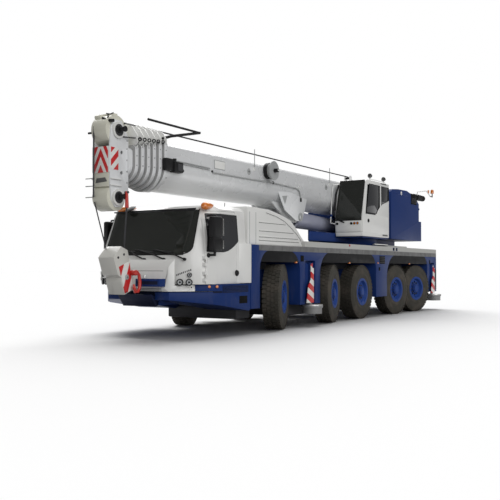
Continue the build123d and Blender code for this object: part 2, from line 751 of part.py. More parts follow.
BUMPER_SIDE = [
    (2450.0, 860.0),
    (3060.0, 860.0),
    (3090.0, 930.0),
    (3060.0, 1300.0),
    (2975.0, 1440.0),
    (2975.0, CAB_FLOOR - 20),
    (2450.0, CAB_FLOOR - 20),
]
BUMPER_HALF_WIDTH = 1340.0
LAMP_DEPTH = 40.0
LAMPS = [
    # x, y, z, radius
    (2920.0, 840.0, 1034.0, 75.0),
    (2750.0, 1000.0, 934.0, 50.0),
]

TRAY = [
    (NOSE_FRONT, 880.0),
    (NOSE_FRONT, 600.0),
    (3250.0, 580.0),
    (4000.0, 790.0),
    (3900.0, 810.0),
    (3200.0, 745.0),
    (3020.0, 880.0),
]

with BuildPart() as front_bumper:
    slab(BUMPER_SIDE, (-BUMPER_HALF_WIDTH, BUMPER_HALF_WIDTH))
    level_slab(FRONT_PLAN, (500.0, 1500.0), mode=Mode.INTERSECT)
    nose_y = (-CHASSIS_HALF_WIDTH, CHASSIS_HALF_WIDTH)
    block((2400.0, NOSE_FRONT), nose_y, (500.0, CAB_FLOOR), mode=Mode.SUBTRACT)
    for side_name, side in SIDES:
        for lamp_x, lamp_y, lamp_z, lamp_radius in LAMPS:
            lamp_plane = Plane(
                origin=(FRONT_AXLE_X + lamp_x, side * lamp_y, lamp_z),
                x_dir=(0, 0, 1),
                z_dir=(540.0, side * 580.0, 0),
            )
            with BuildSketch(lamp_plane.offset(-LAMP_DEPTH)):
                Circle(lamp_radius)
            extrude(amount=2 * LAMP_DEPTH, mode=Mode.SUBTRACT)
    # Towing jaw box and the tray in front of it
    block((2975.0, 3250.0), (110.0, 530.0), (950.0, 1090.0))
    slab(TRAY, (-390.0, 390.0))
finish(front_bumper, "front_bumper")

# Engine housing: a shell that slopes down behind the cab

HOUSING_OUTLINE = [
    (1300.0, DECK_LOWER_TOP),
    (1300.0, 2410.0),
    (570.0, 2392.0),
    (159.0, 2324.0),
    (-271.0, 2220.0),
    (-493.0, 2102.0),
    (-940.0, 1835.0),
    (-940.0, DECK_LOWER_TOP),
]
HOUSING_INSIDE = [
    (1300.0 - HOUSING_WALL, DECK_LOWER_TOP - 10),
    (1300.0 - HOUSING_WALL, 2410.0 - HOUSING_WALL),
    (565.0, 2392.0 - HOUSING_WALL),
    (150.0, 2324.0 - HOUSING_WALL),
    (-285.0, 2220.0 - HOUSING_WALL),
    (-520.0, 2102.0 - HOUSING_WALL),
    (-900.0, 1835.0),
    (-900.0, DECK_LOWER_TOP - 10),
]
with BuildPart() as engine_housing:
    slab(HOUSING_OUTLINE, (-HOUSING_HALF_WIDTH, HOUSING_HALF_WIDTH))
    slab(
        HOUSING_INSIDE,
        (-HOUSING_HALF_WIDTH + HOUSING_WALL, HOUSING_HALF_WIDTH - HOUSING_WALL),
        mode=Mode.SUBTRACT,
    )
finish(engine_housing, "engine_housing")

# Outriggers: a box beam that slides out on each side, and a jack foot that slides down

for position, box_x in OUTRIGGER_XS:
    for side_name, side in SIDES:
        beam_x = (box_x - BEAM_WIDTH / 2, box_x + BEAM_WIDTH / 2)
        beam_z = (BEAM_BOTTOMS[side_name], BEAM_BOTTOMS[side_name] + BEAM_HEIGHT)
        end_z = (JACK_BOTTOM, JACK_TOP)
        cover = [
            (box_x + 230, JACK_BOTTOM - 30),
            (box_x - 110, JACK_BOTTOM - 30),
            (box_x - 110, 1320.0),
            (box_x + 20, 1320.0),
            (box_x + 20, 1040.0),
            (box_x + 150, 900.0),
        ]
        with BuildPart() as outrigger_beam:
            block(beam_x, both_ways(side, BEAM_INNER_Y, BEAM_END_Y), beam_z)
            end_y = both_ways(side, BEAM_END_Y, BEAM_END_Y + END_PLATE_THICKNESS)
            end_half = RECESS_HALF_WIDTH - 20
            block((box_x - end_half, box_x + end_half), end_y, end_z)
            upright_pin(box_x, side * JACK_Y, JACK_RADIUS, end_z)
            cover_y = both_ways(side, JACK_Y + JACK_RADIUS - 6, JACK_Y + JACK_RADIUS - 6 + COVER_THICKNESS)
            slab(cover, cover_y)
            upright_pin(
                box_x, side * JACK_Y, ROD_RADIUS + BEARING_GAP, (JACK_BOTTOM, ROD_TOP + 20), mode=Mode.SUBTRACT
            )
        finish(outrigger_beam, f"outrigger_beam_{position}_{side_name}")

        with BuildPart() as jack_foot:
            upright_pin(box_x, side * JACK_Y, ROD_RADIUS, (PAD_TOP - 20, ROD_TOP))
            upright_pin(box_x, side * (JACK_Y + PAD_OFFSET_Y), PAD_RADIUS, (PAD_TOP - 60, PAD_TOP))
            upright_pin(box_x, side * (JACK_Y + PAD_OFFSET_Y), PAD_RADIUS - 20, (PAD_BOTTOM, PAD_TOP - 60))
        finish(jack_foot, f"jack_foot_{position}_{side_name}")

# Superstructure: ring, platform, side plates for the boom's pivot and the luffing cylinder

SIDE_PLATE = [
    (-4350.0, PLATFORM_TOP - 20),
    (-8560.0, PLATFORM_TOP - 20),
    (-8560.0, 3150.0),
    (-8420.0, 3400.0),
    (-8000.0, 3400.0),
    (-7400.0, 2950.0),
    (-6300.0, 2560.0),
]
TURNTABLE_PLAN = [
    (-2980.0, 420.0),
    (-4200.0, SIDE_PLATE_OUTER),
    (-8560.0, SIDE_PLATE_OUTER),
    (-8560.0, -SIDE_PLATE_OUTER),
    (-4200.0, -SIDE_PLATE_OUTER),
    (-2980.0, -420.0),
]

with BuildPart() as turntable:
    upright_pin(SLEW_X, 0, RING_RADIUS, (RING_SEAT_TOP + SEAT_GAP, 2080.0))
    level_slab(TURNTABLE_PLAN, (PLATFORM_BOTTOM, PLATFORM_TOP))
    block((-6100.0, -4400.0), (SIDE_PLATE_INNER, 1250.0), (2080.0, PLATFORM_TOP))
    for side_name, side in SIDES:
        slab(SIDE_PLATE, both_ways(side, SIDE_PLATE_INNER, SIDE_PLATE_OUTER))
    cross_pin(PIVOT_X, PIVOT_Z, PIVOT_RADIUS, (-SIDE_PLATE_OUTER, SIDE_PLATE_OUTER))
    # Cylinder pin between two cheeks
    for side_name, side in SIDES:
        cheek_y = both_ways(side, LUFF_EYE_HALF_WIDTH + SEAT_GAP, LUFF_EYE_HALF_WIDTH + 50)
        cheek = [
            (LUFF_BASE_X - 190, PLATFORM_TOP - 20),
            (LUFF_BASE_X - 110, LUFF_BASE_Z + 130),
            (LUFF_BASE_X + 110, LUFF_BASE_Z + 130),
            (LUFF_BASE_X + 190, PLATFORM_TOP - 20),
        ]
        slab(cheek, cheek_y)
    luff_pin_y = (-LUFF_EYE_HALF_WIDTH - 50, LUFF_EYE_HALF_WIDTH + 50)
    cross_pin(LUFF_BASE_X, LUFF_BASE_Z, LUFF_PIN_RADIUS, luff_pin_y)
finish(turntable, "turntable")

# Counterweight and rear housings, with the hoist winch across the back

with BuildPart() as counterweight:
    for side_name, side in SIDES:
        house = [
            (-6240.0, 2105.0),
            (-8540.0, 2105.0),
            (-8540.0, 3230.0),
            (-8100.0, 3400.0),
            (-7500.0, 3500.0),
            (-6800.0, 3520.0),
            (-6350.0, 3500.0),
            (-6240.0, 3420.0),
        ]
        slab(house, both_ways(side, SIDE_PLATE_OUTER + SEAT_GAP, 1300.0))
    block((-8980.0, -8565.0), (-1300.0, 1300.0), (2105.0, 2700.0))
    for side_name, side in SIDES:
        block((-8600.0, -8500.0), both_ways(side, SIDE_PLATE_OUTER + 20, 1300.0), (2105.0, 2700.0))
        block((-8900.0, -8540.0), both_ways(side, 640.0, 700.0), (2650.0, 3400.0))
    cross_pin(-8820.0, 3250.0, 240.0, (-660.0, 660.0))
    cross_pin(-8820.0, 3250.0, 120.0, (-800.0, 1150.0))
finish(counterweight, "counterweight")

# Operator's cab: a leaning glazed shell beside the boom

OP_SIDE = [
    (-4300.0, OP_BOTTOM),
    (-4280.0, 2600.0),
    (-4480.0, 3540.0),
    (-4560.0, OP_TOP),
    (OP_REAR, OP_TOP),
    (OP_REAR, OP_BOTTOM),
]
OP_INSIDE = [
    (-4300.0 - OP_WALL, OP_BOTTOM + OP_WALL),
    (-4280.0 - OP_WALL, 2600.0),
    (-4510.0 - OP_WALL, OP_TOP - OP_WALL),
    (OP_REAR + OP_WALL, OP_TOP - OP_WALL),
    (OP_REAR + OP_WALL, OP_BOTTOM + OP_WALL),
]
OP_SIDE_WINDOWS = [
    [(-4480.0, 2700.0), (-4620.0, 3480.0), (-5180.0, 3480.0), (-5180.0, 2700.0)],
    [(-5270.0, 2700.0), (-5270.0, 3480.0), (-6020.0, 3480.0), (-6020.0, 2700.0)],
]
OP_FRONT_WINDOW = [(OP_INNER_Y + 70, 2330.0), (OP_OUTER_Y - 70, 2330.0), (OP_OUTER_Y - 70, 3500.0), (OP_INNER_Y + 110, 3500.0)]

with BuildPart() as operator_cab:
    slab(OP_SIDE, (OP_INNER_Y, OP_OUTER_Y))
    slab(OP_INSIDE, (OP_INNER_Y + OP_WALL, OP_OUTER_Y - OP_WALL), mode=Mode.SUBTRACT)
    for window in OP_SIDE_WINDOWS:
        slab(window, (OP_INNER_Y - 50, OP_OUTER_Y + 50), mode=Mode.SUBTRACT)
    cross_slab(OP_FRONT_WINDOW, (-4700.0, -4200.0), mode=Mode.SUBTRACT)
    block((-5500.0, -5000.0), (700.0, 1120.0), (OP_BOTTOM + 30, 2650.0))
    block((-5600.0, -5470.0), (700.0, 1120.0), (OP_BOTTOM + 30, 3250.0))
finish(operator_cab, "operator_cab")

with BuildPart() as operator_cab_glass:
    for window in OP_SIDE_WINDOWS:
        slab(window, (OP_OUTER_Y - 25, OP_OUTER_Y - 15))
        slab(window, (OP_INNER_Y + 15, OP_INNER_Y + 25))
finish(operator_cab_glass, "operator_cab_glass")

# Boom: U-shaped tubes nested in each other, each with a collar at its front


def boom_prism(x, radius, flat_height, mode=Mode.ADD):
    """A length of boom section: a half round below, straight sides and cut corners above."""
    top = BOOM_ARC_Z + flat_height
    with BuildSketch(cross_plane(min(x))) as face:
        with BuildLine():
            ThreePointArc((radius, BOOM_ARC_Z), (0, BOOM_ARC_Z - radius), (-radius, BOOM_ARC_Z))
            Polyline(
                (-radius, BOOM_ARC_Z),
                (-radius, top - BOOM_CORNER),
                (-radius + BOOM_CORNER, top),
                (radius - BOOM_CORNER, top),
                (radius, top - BOOM_CORNER),
                (radius, BOOM_ARC_Z),
            )
        make_face()
    extrude(face.sketch, amount=max(x) - min(x), mode=mode)


def section_radius(index):
    """Half the outer width of a boom section, counted from the base section."""
    return BASE_RADIUS - NEST_STEP * index


def section_flat(index):
    """Height of a section's straight sides."""
    return BOOM_FLAT_HEIGHT - NEST_STEP * index


def section_tube(index, rear, front):
    """A section's tube and collar, with the collar's bore seating on the next section."""
    radius, flat = section_radius(index), section_flat(index)
    boom_prism((rear, front), radius, flat)
    boom_prism((front - COLLAR_LENGTH, front), radius + COLLAR_RISE, flat + COLLAR_RISE)


def section_bore(index, rear, front):
    """The hollow of a section's tube and the seat in its collar."""
    radius, flat = section_radius(index), section_flat(index)
    seat, seat_flat = section_radius(index + 1) + SEAT_GAP, section_flat(index + 1) + SEAT_GAP
    boom_prism((rear, front - COLLAR_LENGTH), radius - TUBE_WALL, flat - TUBE_WALL, mode=Mode.SUBTRACT)
    boom_prism((front - COLLAR_LENGTH, front), seat, seat_flat, mode=Mode.SUBTRACT)


LUFF_BRACKET = [
    (-950.0, 3000.0),
    (-1900.0, 2560.0),
    (-2300.0, 2400.0),
    (-2600.0, 2400.0),
    (-2700.0, 2560.0),
    (-3000.0, 3000.0),
]
FOOT_HALF_WIDTH = 300.0
FOOT_RADIUS = 190.0

with BuildPart() as boom_base:
    section_tube(0, BASE_REAR, BASE_FRONT)
    for side_name, side in SIDES:
        slab(LUFF_BRACKET, both_ways(side, 230.0, 270.0))
    cross_pin(PIVOT_X, PIVOT_Z, FOOT_RADIUS, (-FOOT_HALF_WIDTH, FOOT_HALF_WIDTH))
    foot_z = (PIVOT_Z - FOOT_RADIUS, PIVOT_Z + FOOT_RADIUS)
    block((PIVOT_X, BASE_REAR), (-FOOT_HALF_WIDTH, FOOT_HALF_WIDTH), foot_z)
    bore_y = (-FOOT_HALF_WIDTH, FOOT_HALF_WIDTH)
    cross_pin(PIVOT_X, PIVOT_Z, PIVOT_RADIUS + BEARING_GAP, bore_y, mode=Mode.SUBTRACT)
    section_bore(0, BASE_REAR + 40, BASE_FRONT)
finish(boom_base, "boom_base")

for index in range(1, SECTION_COUNT):
    front = BASE_FRONT + COLLAR_PITCH * index
    rear = BASE_REAR + 60 + REAR_STEP * index
    with BuildPart() as boom_section:
        section_tube(index, rear, front)
        section_bore(index, rear + 20, front)
    finish(boom_section, f"boom_section_{index}")

# Inner section with the boom head: cheek plates, sheaves on their pins and a front plate

HEAD_REAR = HEAD_SHEAVE_X - 290.0
HEAD_FRONT = HEAD_SHEAVE_X + 190.0
HEAD_OUTLINE = [
    (HEAD_REAR, LOWER_SHEAVE_Z + 120),
    (HEAD_REAR + 140, LOWER_SHEAVE_Z - 120),
    (HEAD_SHEAVE_X - 50, LOWER_SHEAVE_Z - 170),
    (HEAD_SHEAVE_X + 50, LOWER_SHEAVE_Z - 170),
    (HEAD_FRONT - 40, LOWER_SHEAVE_Z - 40),
    (HEAD_FRONT, LOWER_SHEAVE_Z + 240),
    (HEAD_FRONT, UPPER_SHEAVE_Z - 200),
    (HEAD_FRONT - 20, UPPER_SHEAVE_Z + 50),
    (HEAD_SHEAVE_X + 100, UPPER_SHEAVE_Z + 180),
    (HEAD_SHEAVE_X - 100, UPPER_SHEAVE_Z + 180),
    (HEAD_REAR, UPPER_SHEAVE_Z - 80),
]
HEAD_SHEAVES = [
    # height, radius of the sheaves with their guard
    (UPPER_SHEAVE_Z, GUARD_RADIUS),
    (LOWER_SHEAVE_Z, HEAD_SHEAVE_RADIUS),
]
JIB_PINS = [2960.0, 3320.0]
JIB_PIN_X = HEAD_SHEAVE_X - 110.0
HEAD_INNER = HEAD_HALF_WIDTH - HEAD_PLATE
INNER_FRONT = HEAD_REAR + 40.0

with BuildPart() as boom_section_6:
    inner_rear = BASE_REAR + 60 + REAR_STEP * SECTION_COUNT
    boom_prism((inner_rear, INNER_FRONT), section_radius(SECTION_COUNT), section_flat(SECTION_COUNT))
    inner_bore = (section_radius(SECTION_COUNT) - TUBE_WALL, section_flat(SECTION_COUNT) - TUBE_WALL)
    boom_prism((inner_rear + 20, INNER_FRONT - 20), *inner_bore, mode=Mode.SUBTRACT)
    for side_name, side in SIDES:
        slab(HEAD_OUTLINE, both_ways(side, HEAD_INNER, HEAD_HALF_WIDTH))
        for pin_z in JIB_PINS:
            pin_y = both_ways(side, HEAD_INNER - 10, HEAD_HALF_WIDTH + 10)
            cross_pin(JIB_PIN_X, pin_z, HEAD_PIN_RADIUS, pin_y, mode=Mode.SUBTRACT)
    back_z = (LOWER_SHEAVE_Z + 120, UPPER_SHEAVE_Z - 80)
    block((HEAD_REAR, INNER_FRONT), (-HEAD_HALF_WIDTH, HEAD_HALF_WIDTH), back_z)
    block((HEAD_FRONT - 10, HEAD_FRONT + 15), (-HEAD_HALF_WIDTH, HEAD_HALF_WIDTH), (2950.0, 3400.0))
    for sheave_z, sheave_radius in HEAD_SHEAVES:
        cross_pin(HEAD_SHEAVE_X, sheave_z, sheave_radius, (-HEAD_INNER, HEAD_INNER))
        cross_pin(HEAD_SHEAVE_X, sheave_z, 85.0, (-HEAD_HALF_WIDTH - 40, HEAD_HALF_WIDTH + 40))
    roller_x = (HEAD_SHEAVE_X - 50, HEAD_SHEAVE_X + 50)
    block(roller_x, (-150.0, 150.0), (UPPER_SHEAVE_Z + 200, UPPER_SHEAVE_Z + 300))
finish(boom_section_6, "boom_section_6")

# Luffing cylinder, from the turntable's pin to the bracket under the boom

LUFF_LINE = Vector(LUFF_HEAD_X - LUFF_BASE_X, 0, LUFF_HEAD_Z - LUFF_BASE_Z)
LUFF_LENGTH = LUFF_LINE.length
LUFF_DIRECTION = LUFF_LINE.normalized()
LUFF_BASE = Vector(FRONT_AXLE_X + LUFF_BASE_X, 0, LUFF_BASE_Z)
BARREL_END = LUFF_LENGTH - 420.0
ROD_START = 1900.0


def luff_plane(distance):
    """A plane square to the cylinder, at a distance from its base pin."""
    return Plane(origin=LUFF_BASE + LUFF_DIRECTION * distance, x_dir=(0, 1, 0), z_dir=LUFF_DIRECTION)


with BuildPart() as luff_barrel:
    with BuildSketch(luff_plane(0.0)):
        Circle(LUFF_EYE_HALF_WIDTH - 5)
    extrude(amount=300.0)
    with BuildSketch(luff_plane(200.0)):
        Circle(LUFF_BARREL_RADIUS)
    extrude(amount=BARREL_END - 200.0)
    eye_y = (-LUFF_EYE_HALF_WIDTH, LUFF_EYE_HALF_WIDTH)
    cross_pin(LUFF_BASE_X, LUFF_BASE_Z, LUFF_EYE_RADIUS, eye_y)
    cross_pin(LUFF_BASE_X, LUFF_BASE_Z, LUFF_PIN_RADIUS + BEARING_GAP, eye_y, mode=Mode.SUBTRACT)
    with BuildSketch(luff_plane(BARREL_END)):
        Circle(LUFF_ROD_RADIUS + BEARING_GAP)
    extrude(amount=-(BARREL_END - 400.0), mode=Mode.SUBTRACT)
finish(luff_barrel, "luff_barrel")

with BuildPart() as luff_rod:
    with BuildSketch(luff_plane(ROD_START)):
        Circle(LUFF_ROD_RADIUS)
    extrude(amount=LUFF_LENGTH - ROD_START - 40.0)
    cross_pin(LUFF_HEAD_X, LUFF_HEAD_Z, 135.0, eye_y)
finish(luff_rod, "luff_rod")

# Hook block on its fall of rope, drawn back towards the bumper

LEAN = atan2(HEAD_SHEAVE_X + HEAD_SHEAVE_RADIUS - TIE_X, LOWER_SHEAVE_Z - TIE_Z)
ROPE_DIRECTION = Vector(-sin(LEAN), 0, -cos(LEAN))
TANGENT_RADIUS = HEAD_SHEAVE_RADIUS + ROPE_RADIUS + SEAT_GAP
ROPE_START = Vector(
    FRONT_AXLE_X + HEAD_SHEAVE_X + TANGENT_RADIUS * cos(LEAN),
    ROPE_Y,
    LOWER_SHEAVE_Z - TANGENT_RADIUS * sin(LEAN),
)
BLOCK_START = 900.0
BLOCK_PLANE = Plane(
    origin=ROPE_START + Vector(0, -ROPE_Y, 0),
    x_dir=ROPE_DIRECTION,
    z_dir=(0, 1, 0),
)
# Down the rope, then across it: positive towards the cab
BLOCK_SIDE = [
    (BLOCK_START - 60, 60.0),
    (BLOCK_START + 60, -190.0),
    (BLOCK_START + 330, -190.0),
    (BLOCK_START + 390, -120.0),
    (BLOCK_START + 440, -150.0),
    (BLOCK_START + 640, -150.0),
    (BLOCK_START + 640, 160.0),
    (BLOCK_START + 60, 200.0),
]

with BuildPart() as hook_block:
    with BuildSketch(Plane(origin=ROPE_START, x_dir=(0, 1, 0), z_dir=ROPE_DIRECTION)):
        Circle(ROPE_RADIUS)
    extrude(amount=BLOCK_START + 60)
    with BuildSketch(BLOCK_PLANE.offset(BLOCK_Y[0])):
        with BuildLine():
            Polyline(*BLOCK_SIDE, close=True)
        make_face()
    extrude(amount=BLOCK_Y[1] - BLOCK_Y[0])
finish(hook_block, "hook_block")
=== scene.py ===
"""Looks of a five-axle mobile crane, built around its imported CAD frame.

Lengths are in metres and angles in degrees. Every x is measured forward from the front axle, y to the
crane's left and z up from the ground. The function at() turns such a place into the frame's coordinates.
"""

import json
import logging
import math
from contextlib import contextmanager
from dataclasses import dataclass
from enum import Enum
from typing import Callable, Iterable, Iterator, Sequence

import bpy
from mathutils import Matrix, Vector

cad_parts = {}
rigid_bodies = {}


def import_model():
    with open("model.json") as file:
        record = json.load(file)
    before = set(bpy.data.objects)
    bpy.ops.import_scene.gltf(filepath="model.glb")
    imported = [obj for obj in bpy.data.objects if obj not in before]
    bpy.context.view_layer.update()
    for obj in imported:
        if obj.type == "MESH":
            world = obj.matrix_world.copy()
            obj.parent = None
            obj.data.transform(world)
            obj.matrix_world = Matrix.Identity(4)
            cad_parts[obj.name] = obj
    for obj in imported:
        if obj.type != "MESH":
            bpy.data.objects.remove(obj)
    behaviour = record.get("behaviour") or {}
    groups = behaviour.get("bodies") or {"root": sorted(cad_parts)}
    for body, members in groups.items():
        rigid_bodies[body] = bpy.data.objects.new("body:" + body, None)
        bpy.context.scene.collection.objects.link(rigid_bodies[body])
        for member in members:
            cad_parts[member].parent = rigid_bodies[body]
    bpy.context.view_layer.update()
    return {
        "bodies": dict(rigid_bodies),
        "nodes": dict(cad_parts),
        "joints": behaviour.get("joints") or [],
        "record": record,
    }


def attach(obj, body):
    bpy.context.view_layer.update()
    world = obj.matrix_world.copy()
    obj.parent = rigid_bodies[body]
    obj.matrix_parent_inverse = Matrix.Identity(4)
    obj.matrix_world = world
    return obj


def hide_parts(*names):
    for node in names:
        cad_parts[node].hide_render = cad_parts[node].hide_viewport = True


log = logging.getLogger("crane")

Colour = tuple[float, float, float]
Point = tuple[float, float, float]
Pair = tuple[float, float]

FRONT_AXLE = 2.9
SIDES = (("left", 1), ("right", -1))
FRAME_ORIGIN: Point = (-FRONT_AXLE, 0.0, 0.0)
LEFT: Point = (0.0, 1.0, 0.0)
FORWARD: Point = (1.0, 0.0, 0.0)
UP: Point = (0.0, 0.0, 1.0)
MERGE_DISTANCE = 0.00005
FLAT_ANGLE = 1.5
SMOOTH_ANGLE = 40.0
PIPE_ROUNDNESS = 3


def at(x: float, y: float, z: float) -> Vector:
    """A place measured from the front axle, in the frame's coordinates."""
    return Vector((FRONT_AXLE + x, y, z))


class View(Enum):
    """The flat view in which an outline is drawn."""

    SIDE = "side"
    FRONT = "front"
    LEVEL = "level"


# Shader maths


class Field:
    """A value or colour in a material, with arithmetic that adds its own nodes."""

    def __init__(self, sheet: "ShaderSheet", socket: bpy.types.NodeSocket) -> None:
        """Wrap a socket.

        Args:
            sheet: The material's node sheet.
            socket: The output socket to wrap.
        """
        self.sheet = sheet
        self.socket = socket

    def maths(self, operation: str, *others: "Field | float", first: bool = True) -> "Field":
        """One Math node.

        Args:
            operation: The node's operation.
            others: Its other values.
            first: True if this field is the first value.

        Returns:
            The result.
        """
        values = [self, *others] if first else [*others, self]
        return self.sheet.node("ShaderNodeMath", {"operation": operation}, dict(enumerate(values)))

    def __add__(self, other: "Field | float") -> "Field":
        """Sum."""
        return self.maths("ADD", other)

    __radd__ = __add__

    def __mul__(self, other: "Field | float") -> "Field":
        """Product."""
        return self.maths("MULTIPLY", other)

    __rmul__ = __mul__

    def __sub__(self, other: "Field | float") -> "Field":
        """Difference."""
        return self.maths("SUBTRACT", other)

    def __rsub__(self, other: "Field | float") -> "Field":
        """Difference from a number."""
        return self.maths("SUBTRACT", other, first=False)

    def __truediv__(self, other: "Field | float") -> "Field":
        """Quotient."""
        return self.maths("DIVIDE", other)

    def above(self, limit: float) -> "Field":
        """One where the value is over a limit, else zero."""
        return self.maths("GREATER_THAN", limit)

    def below(self, limit: float) -> "Field":
        """One where the value is under a limit, else zero."""
        return self.maths("LESS_THAN", limit)

    def step(self, low: float, high: float) -> "Field":
        """A smooth rise from zero at low to one at high."""
        settings = {"interpolation_type": "SMOOTHSTEP"}
        values = {"Value": self, "From Min": low, "From Max": high}
        return self.sheet.node("ShaderNodeMapRange", settings, values)


class ShaderSheet:
    """The node sheet of one material, with its surface shader."""

    def __init__(self, name: str) -> None:
        """Start a material.

        Args:
            name: The material's name.
        """
        self.material = bpy.data.materials.new(name)
        self.material.use_nodes = True
        self.tree = self.material.node_tree
        self.surface = self.tree.nodes["Principled BSDF"]

    def raw(self, kind: str, settings: dict, values: dict) -> bpy.types.Node:
        """Add a node.

        Args:
            kind: The node's type.
            settings: Its settings, which are set first.
            values: Values or fields by socket name or number.

        Returns:
            The node.
        """
        node = self.tree.nodes.new(kind)
        for key, value in settings.items():
            setattr(node, key, value)
        self.feed(node, values)
        return node

    def feed(self, node: bpy.types.Node, values: dict) -> None:
        """Set or link a node's inputs.

        Args:
            node: The node.
            values: Values or fields by socket name or number.
        """
        for key, value in values.items():
            socket = node.inputs[key]
            if isinstance(value, Field):
                self.tree.links.new(value.socket, socket)
            elif isinstance(value, tuple) and len(value) == 3 and socket.type == "RGBA":
                socket.default_value = (*value, 1.0)
            else:
                socket.default_value = value

    def node(self, kind: str, settings: dict, values: dict, output: str | int = 0) -> Field:
        """Add a node and wrap one of its outputs.

        Args:
            kind: The node's type.
            settings: Its settings.
            values: Values or fields by socket.
            output: The output's name or number.

        Returns:
            The wrapped output.
        """
        return Field(self, self.raw(kind, settings, values).outputs[output])

    def place(self) -> Field:
        """The place on the object."""
        return self.node("ShaderNodeTexCoord", {}, {}, "Object")

    def axis(self, name: str) -> Field:
        """One coordinate of the place on the object.

        Args:
            name: X, Y or Z.

        Returns:
            The coordinate, in metres.
        """
        return self.node("ShaderNodeSeparateXYZ", {}, {"Vector": self.place()}, name)

    def noise(self, scale: float, detail: float = 3.0, stretch: Point = (1.0, 1.0, 1.0)) -> Field:
        """Cloudy noise over the surface.

        Args:
            scale: Its scale, in waves per metre.
            detail: Its octaves.
            stretch: How much it is stretched along each axis.

        Returns:
            The noise, about 0 to 1.
        """
        place = self.node("ShaderNodeMapping", {}, {"Vector": self.place(), "Scale": stretch})
        return self.node("ShaderNodeTexNoise", {}, {"Vector": place, "Scale": scale, "Detail": detail})

    def mix(self, factor: "Field | float", low: "Field | Colour", high: "Field | Colour") -> Field:
        """Mix two colours.

        Args:
            factor: How much of the second.
            low: The first colour.
            high: The second colour.

        Returns:
            The mixed colour.
        """
        sockets = {"factor": 0, "low": 6, "high": 7, "result": 2}
        values = {sockets["factor"]: factor, sockets["low"]: low, sockets["high"]: high}
        return self.node("ShaderNodeMix", {"data_type": "RGBA"}, values, sockets["result"])

    def bump(self, height: Field, distance: float, strength: float = 1.0) -> Field:
        """A bumped normal.

        Args:
            height: The height, 0 to 1.
            distance: Metres that a height of 1 stands up.
            strength: How much it counts.

        Returns:
            The normal.
        """
        values = {"Height": height, "Distance": distance, "Strength": strength}
        return self.node("ShaderNodeBump", {}, values, "Normal")

    def paint(self, **values: "Field | Colour | float") -> bpy.types.Material:
        """Feed the surface shader.

        Args:
            values: Its inputs, with underscores for spaces.

        Returns:
            The finished material.
        """
        self.feed(self.surface, {key.replace("_", " "): value for key, value in values.items()})
        return self.material


def darker(colour: Colour, share: float) -> Colour:
    """A colour times a share."""
    return tuple(part * share for part in colour)


def shades(colour: Colour, spread: float) -> tuple[Colour, Colour]:
    """The same colour a little darker and a little lighter."""
    return darker(colour, 1.0 - spread), darker(colour, 1.0 + spread)


# Finishes


@dataclass(frozen=True)
class Finish:
    """A finish with its name and the record's slot that it belongs to."""

    name: str
    slot: str

    def build(self) -> bpy.types.Material:
        """The finish as a material, made once."""
        known = bpy.data.materials.get(self.name)
        return known if known else self.mixed(ShaderSheet(self.name))

    def mixed(self, sheet: ShaderSheet) -> bpy.types.Material:
        """Lay the finish out on a sheet."""
        raise NotImplementedError


@dataclass(frozen=True)
class Paint(Finish):
    """Sprayed paint on steel: a fine orange peel, faint clouding and a little road dust low down."""

    colour: Colour
    roughness: float = 0.3
    coat: float = 0.5
    dust: float = 0.3
    gloss: float = 0.5
    clouding: float = 0.03
    dust_colour: Colour = (0.16, 0.14, 0.12)
    dust_fades: Pair = (0.35, 1.5)

    def mixed(self, sheet: ShaderSheet) -> bpy.types.Material:
        """Lay the finish out on a sheet."""
        cloud = sheet.noise(1.3, 4.0)
        grime = sheet.noise(9.0, 5.0, (1.0, 1.0, 0.35))
        low = 1.0 - sheet.axis("Z").step(*self.dust_fades)
        dusty = (grime.step(0.45, 0.75) * low) * self.dust
        base = sheet.mix(cloud, *shades(self.colour, self.clouding))
        colour = sheet.mix(dusty, base, self.dust_colour)
        rough = (cloud - 0.5) * 0.12 + self.roughness + dusty * 0.4
        peel = sheet.bump(sheet.noise(160.0, 2.0), 0.0003, 0.15)
        return sheet.paint(
            Base_Color=colour,
            Roughness=rough,
            Specular_IOR_Level=self.gloss,
            Coat_Weight=self.coat,
            Coat_Roughness=0.12,
            Normal=peel,
        )


@dataclass(frozen=True)
class Rubber(Finish):
    """Tyre rubber: brown-black, dull, with fine grain and dust in patches."""

    colour: Colour
    dust_colour: Colour = (0.075, 0.064, 0.052)

    def mixed(self, sheet: ShaderSheet) -> bpy.types.Material:
        """Lay the finish out on a sheet."""
        patch = sheet.noise(3.5, 5.0)
        grain = sheet.noise(90.0, 4.0)
        return sheet.paint(
            Base_Color=sheet.mix(patch.step(0.4, 0.75), self.colour, self.dust_colour),
            Roughness=patch * 0.25 + 0.62,
            Specular_IOR_Level=0.35,
            Normal=sheet.bump(grain, 0.0015, 0.6),
        )


@dataclass(frozen=True)
class Plastic(Finish):
    """Grained moulded plastic or powder coat."""

    colour: Colour
    roughness: float = 0.5
    grain: float = 220.0

    def mixed(self, sheet: ShaderSheet) -> bpy.types.Material:
        """Lay the finish out on a sheet."""
        patch = sheet.noise(5.0, 4.0)
        colour = sheet.mix(patch, *shades(self.colour, 0.15))
        rough = patch * 0.2 + (self.roughness - 0.1)
        grain = sheet.bump(sheet.noise(self.grain), 0.0008, 0.5)
        return sheet.paint(Base_Color=colour, Roughness=rough, Specular_IOR_Level=0.2, Normal=grain)


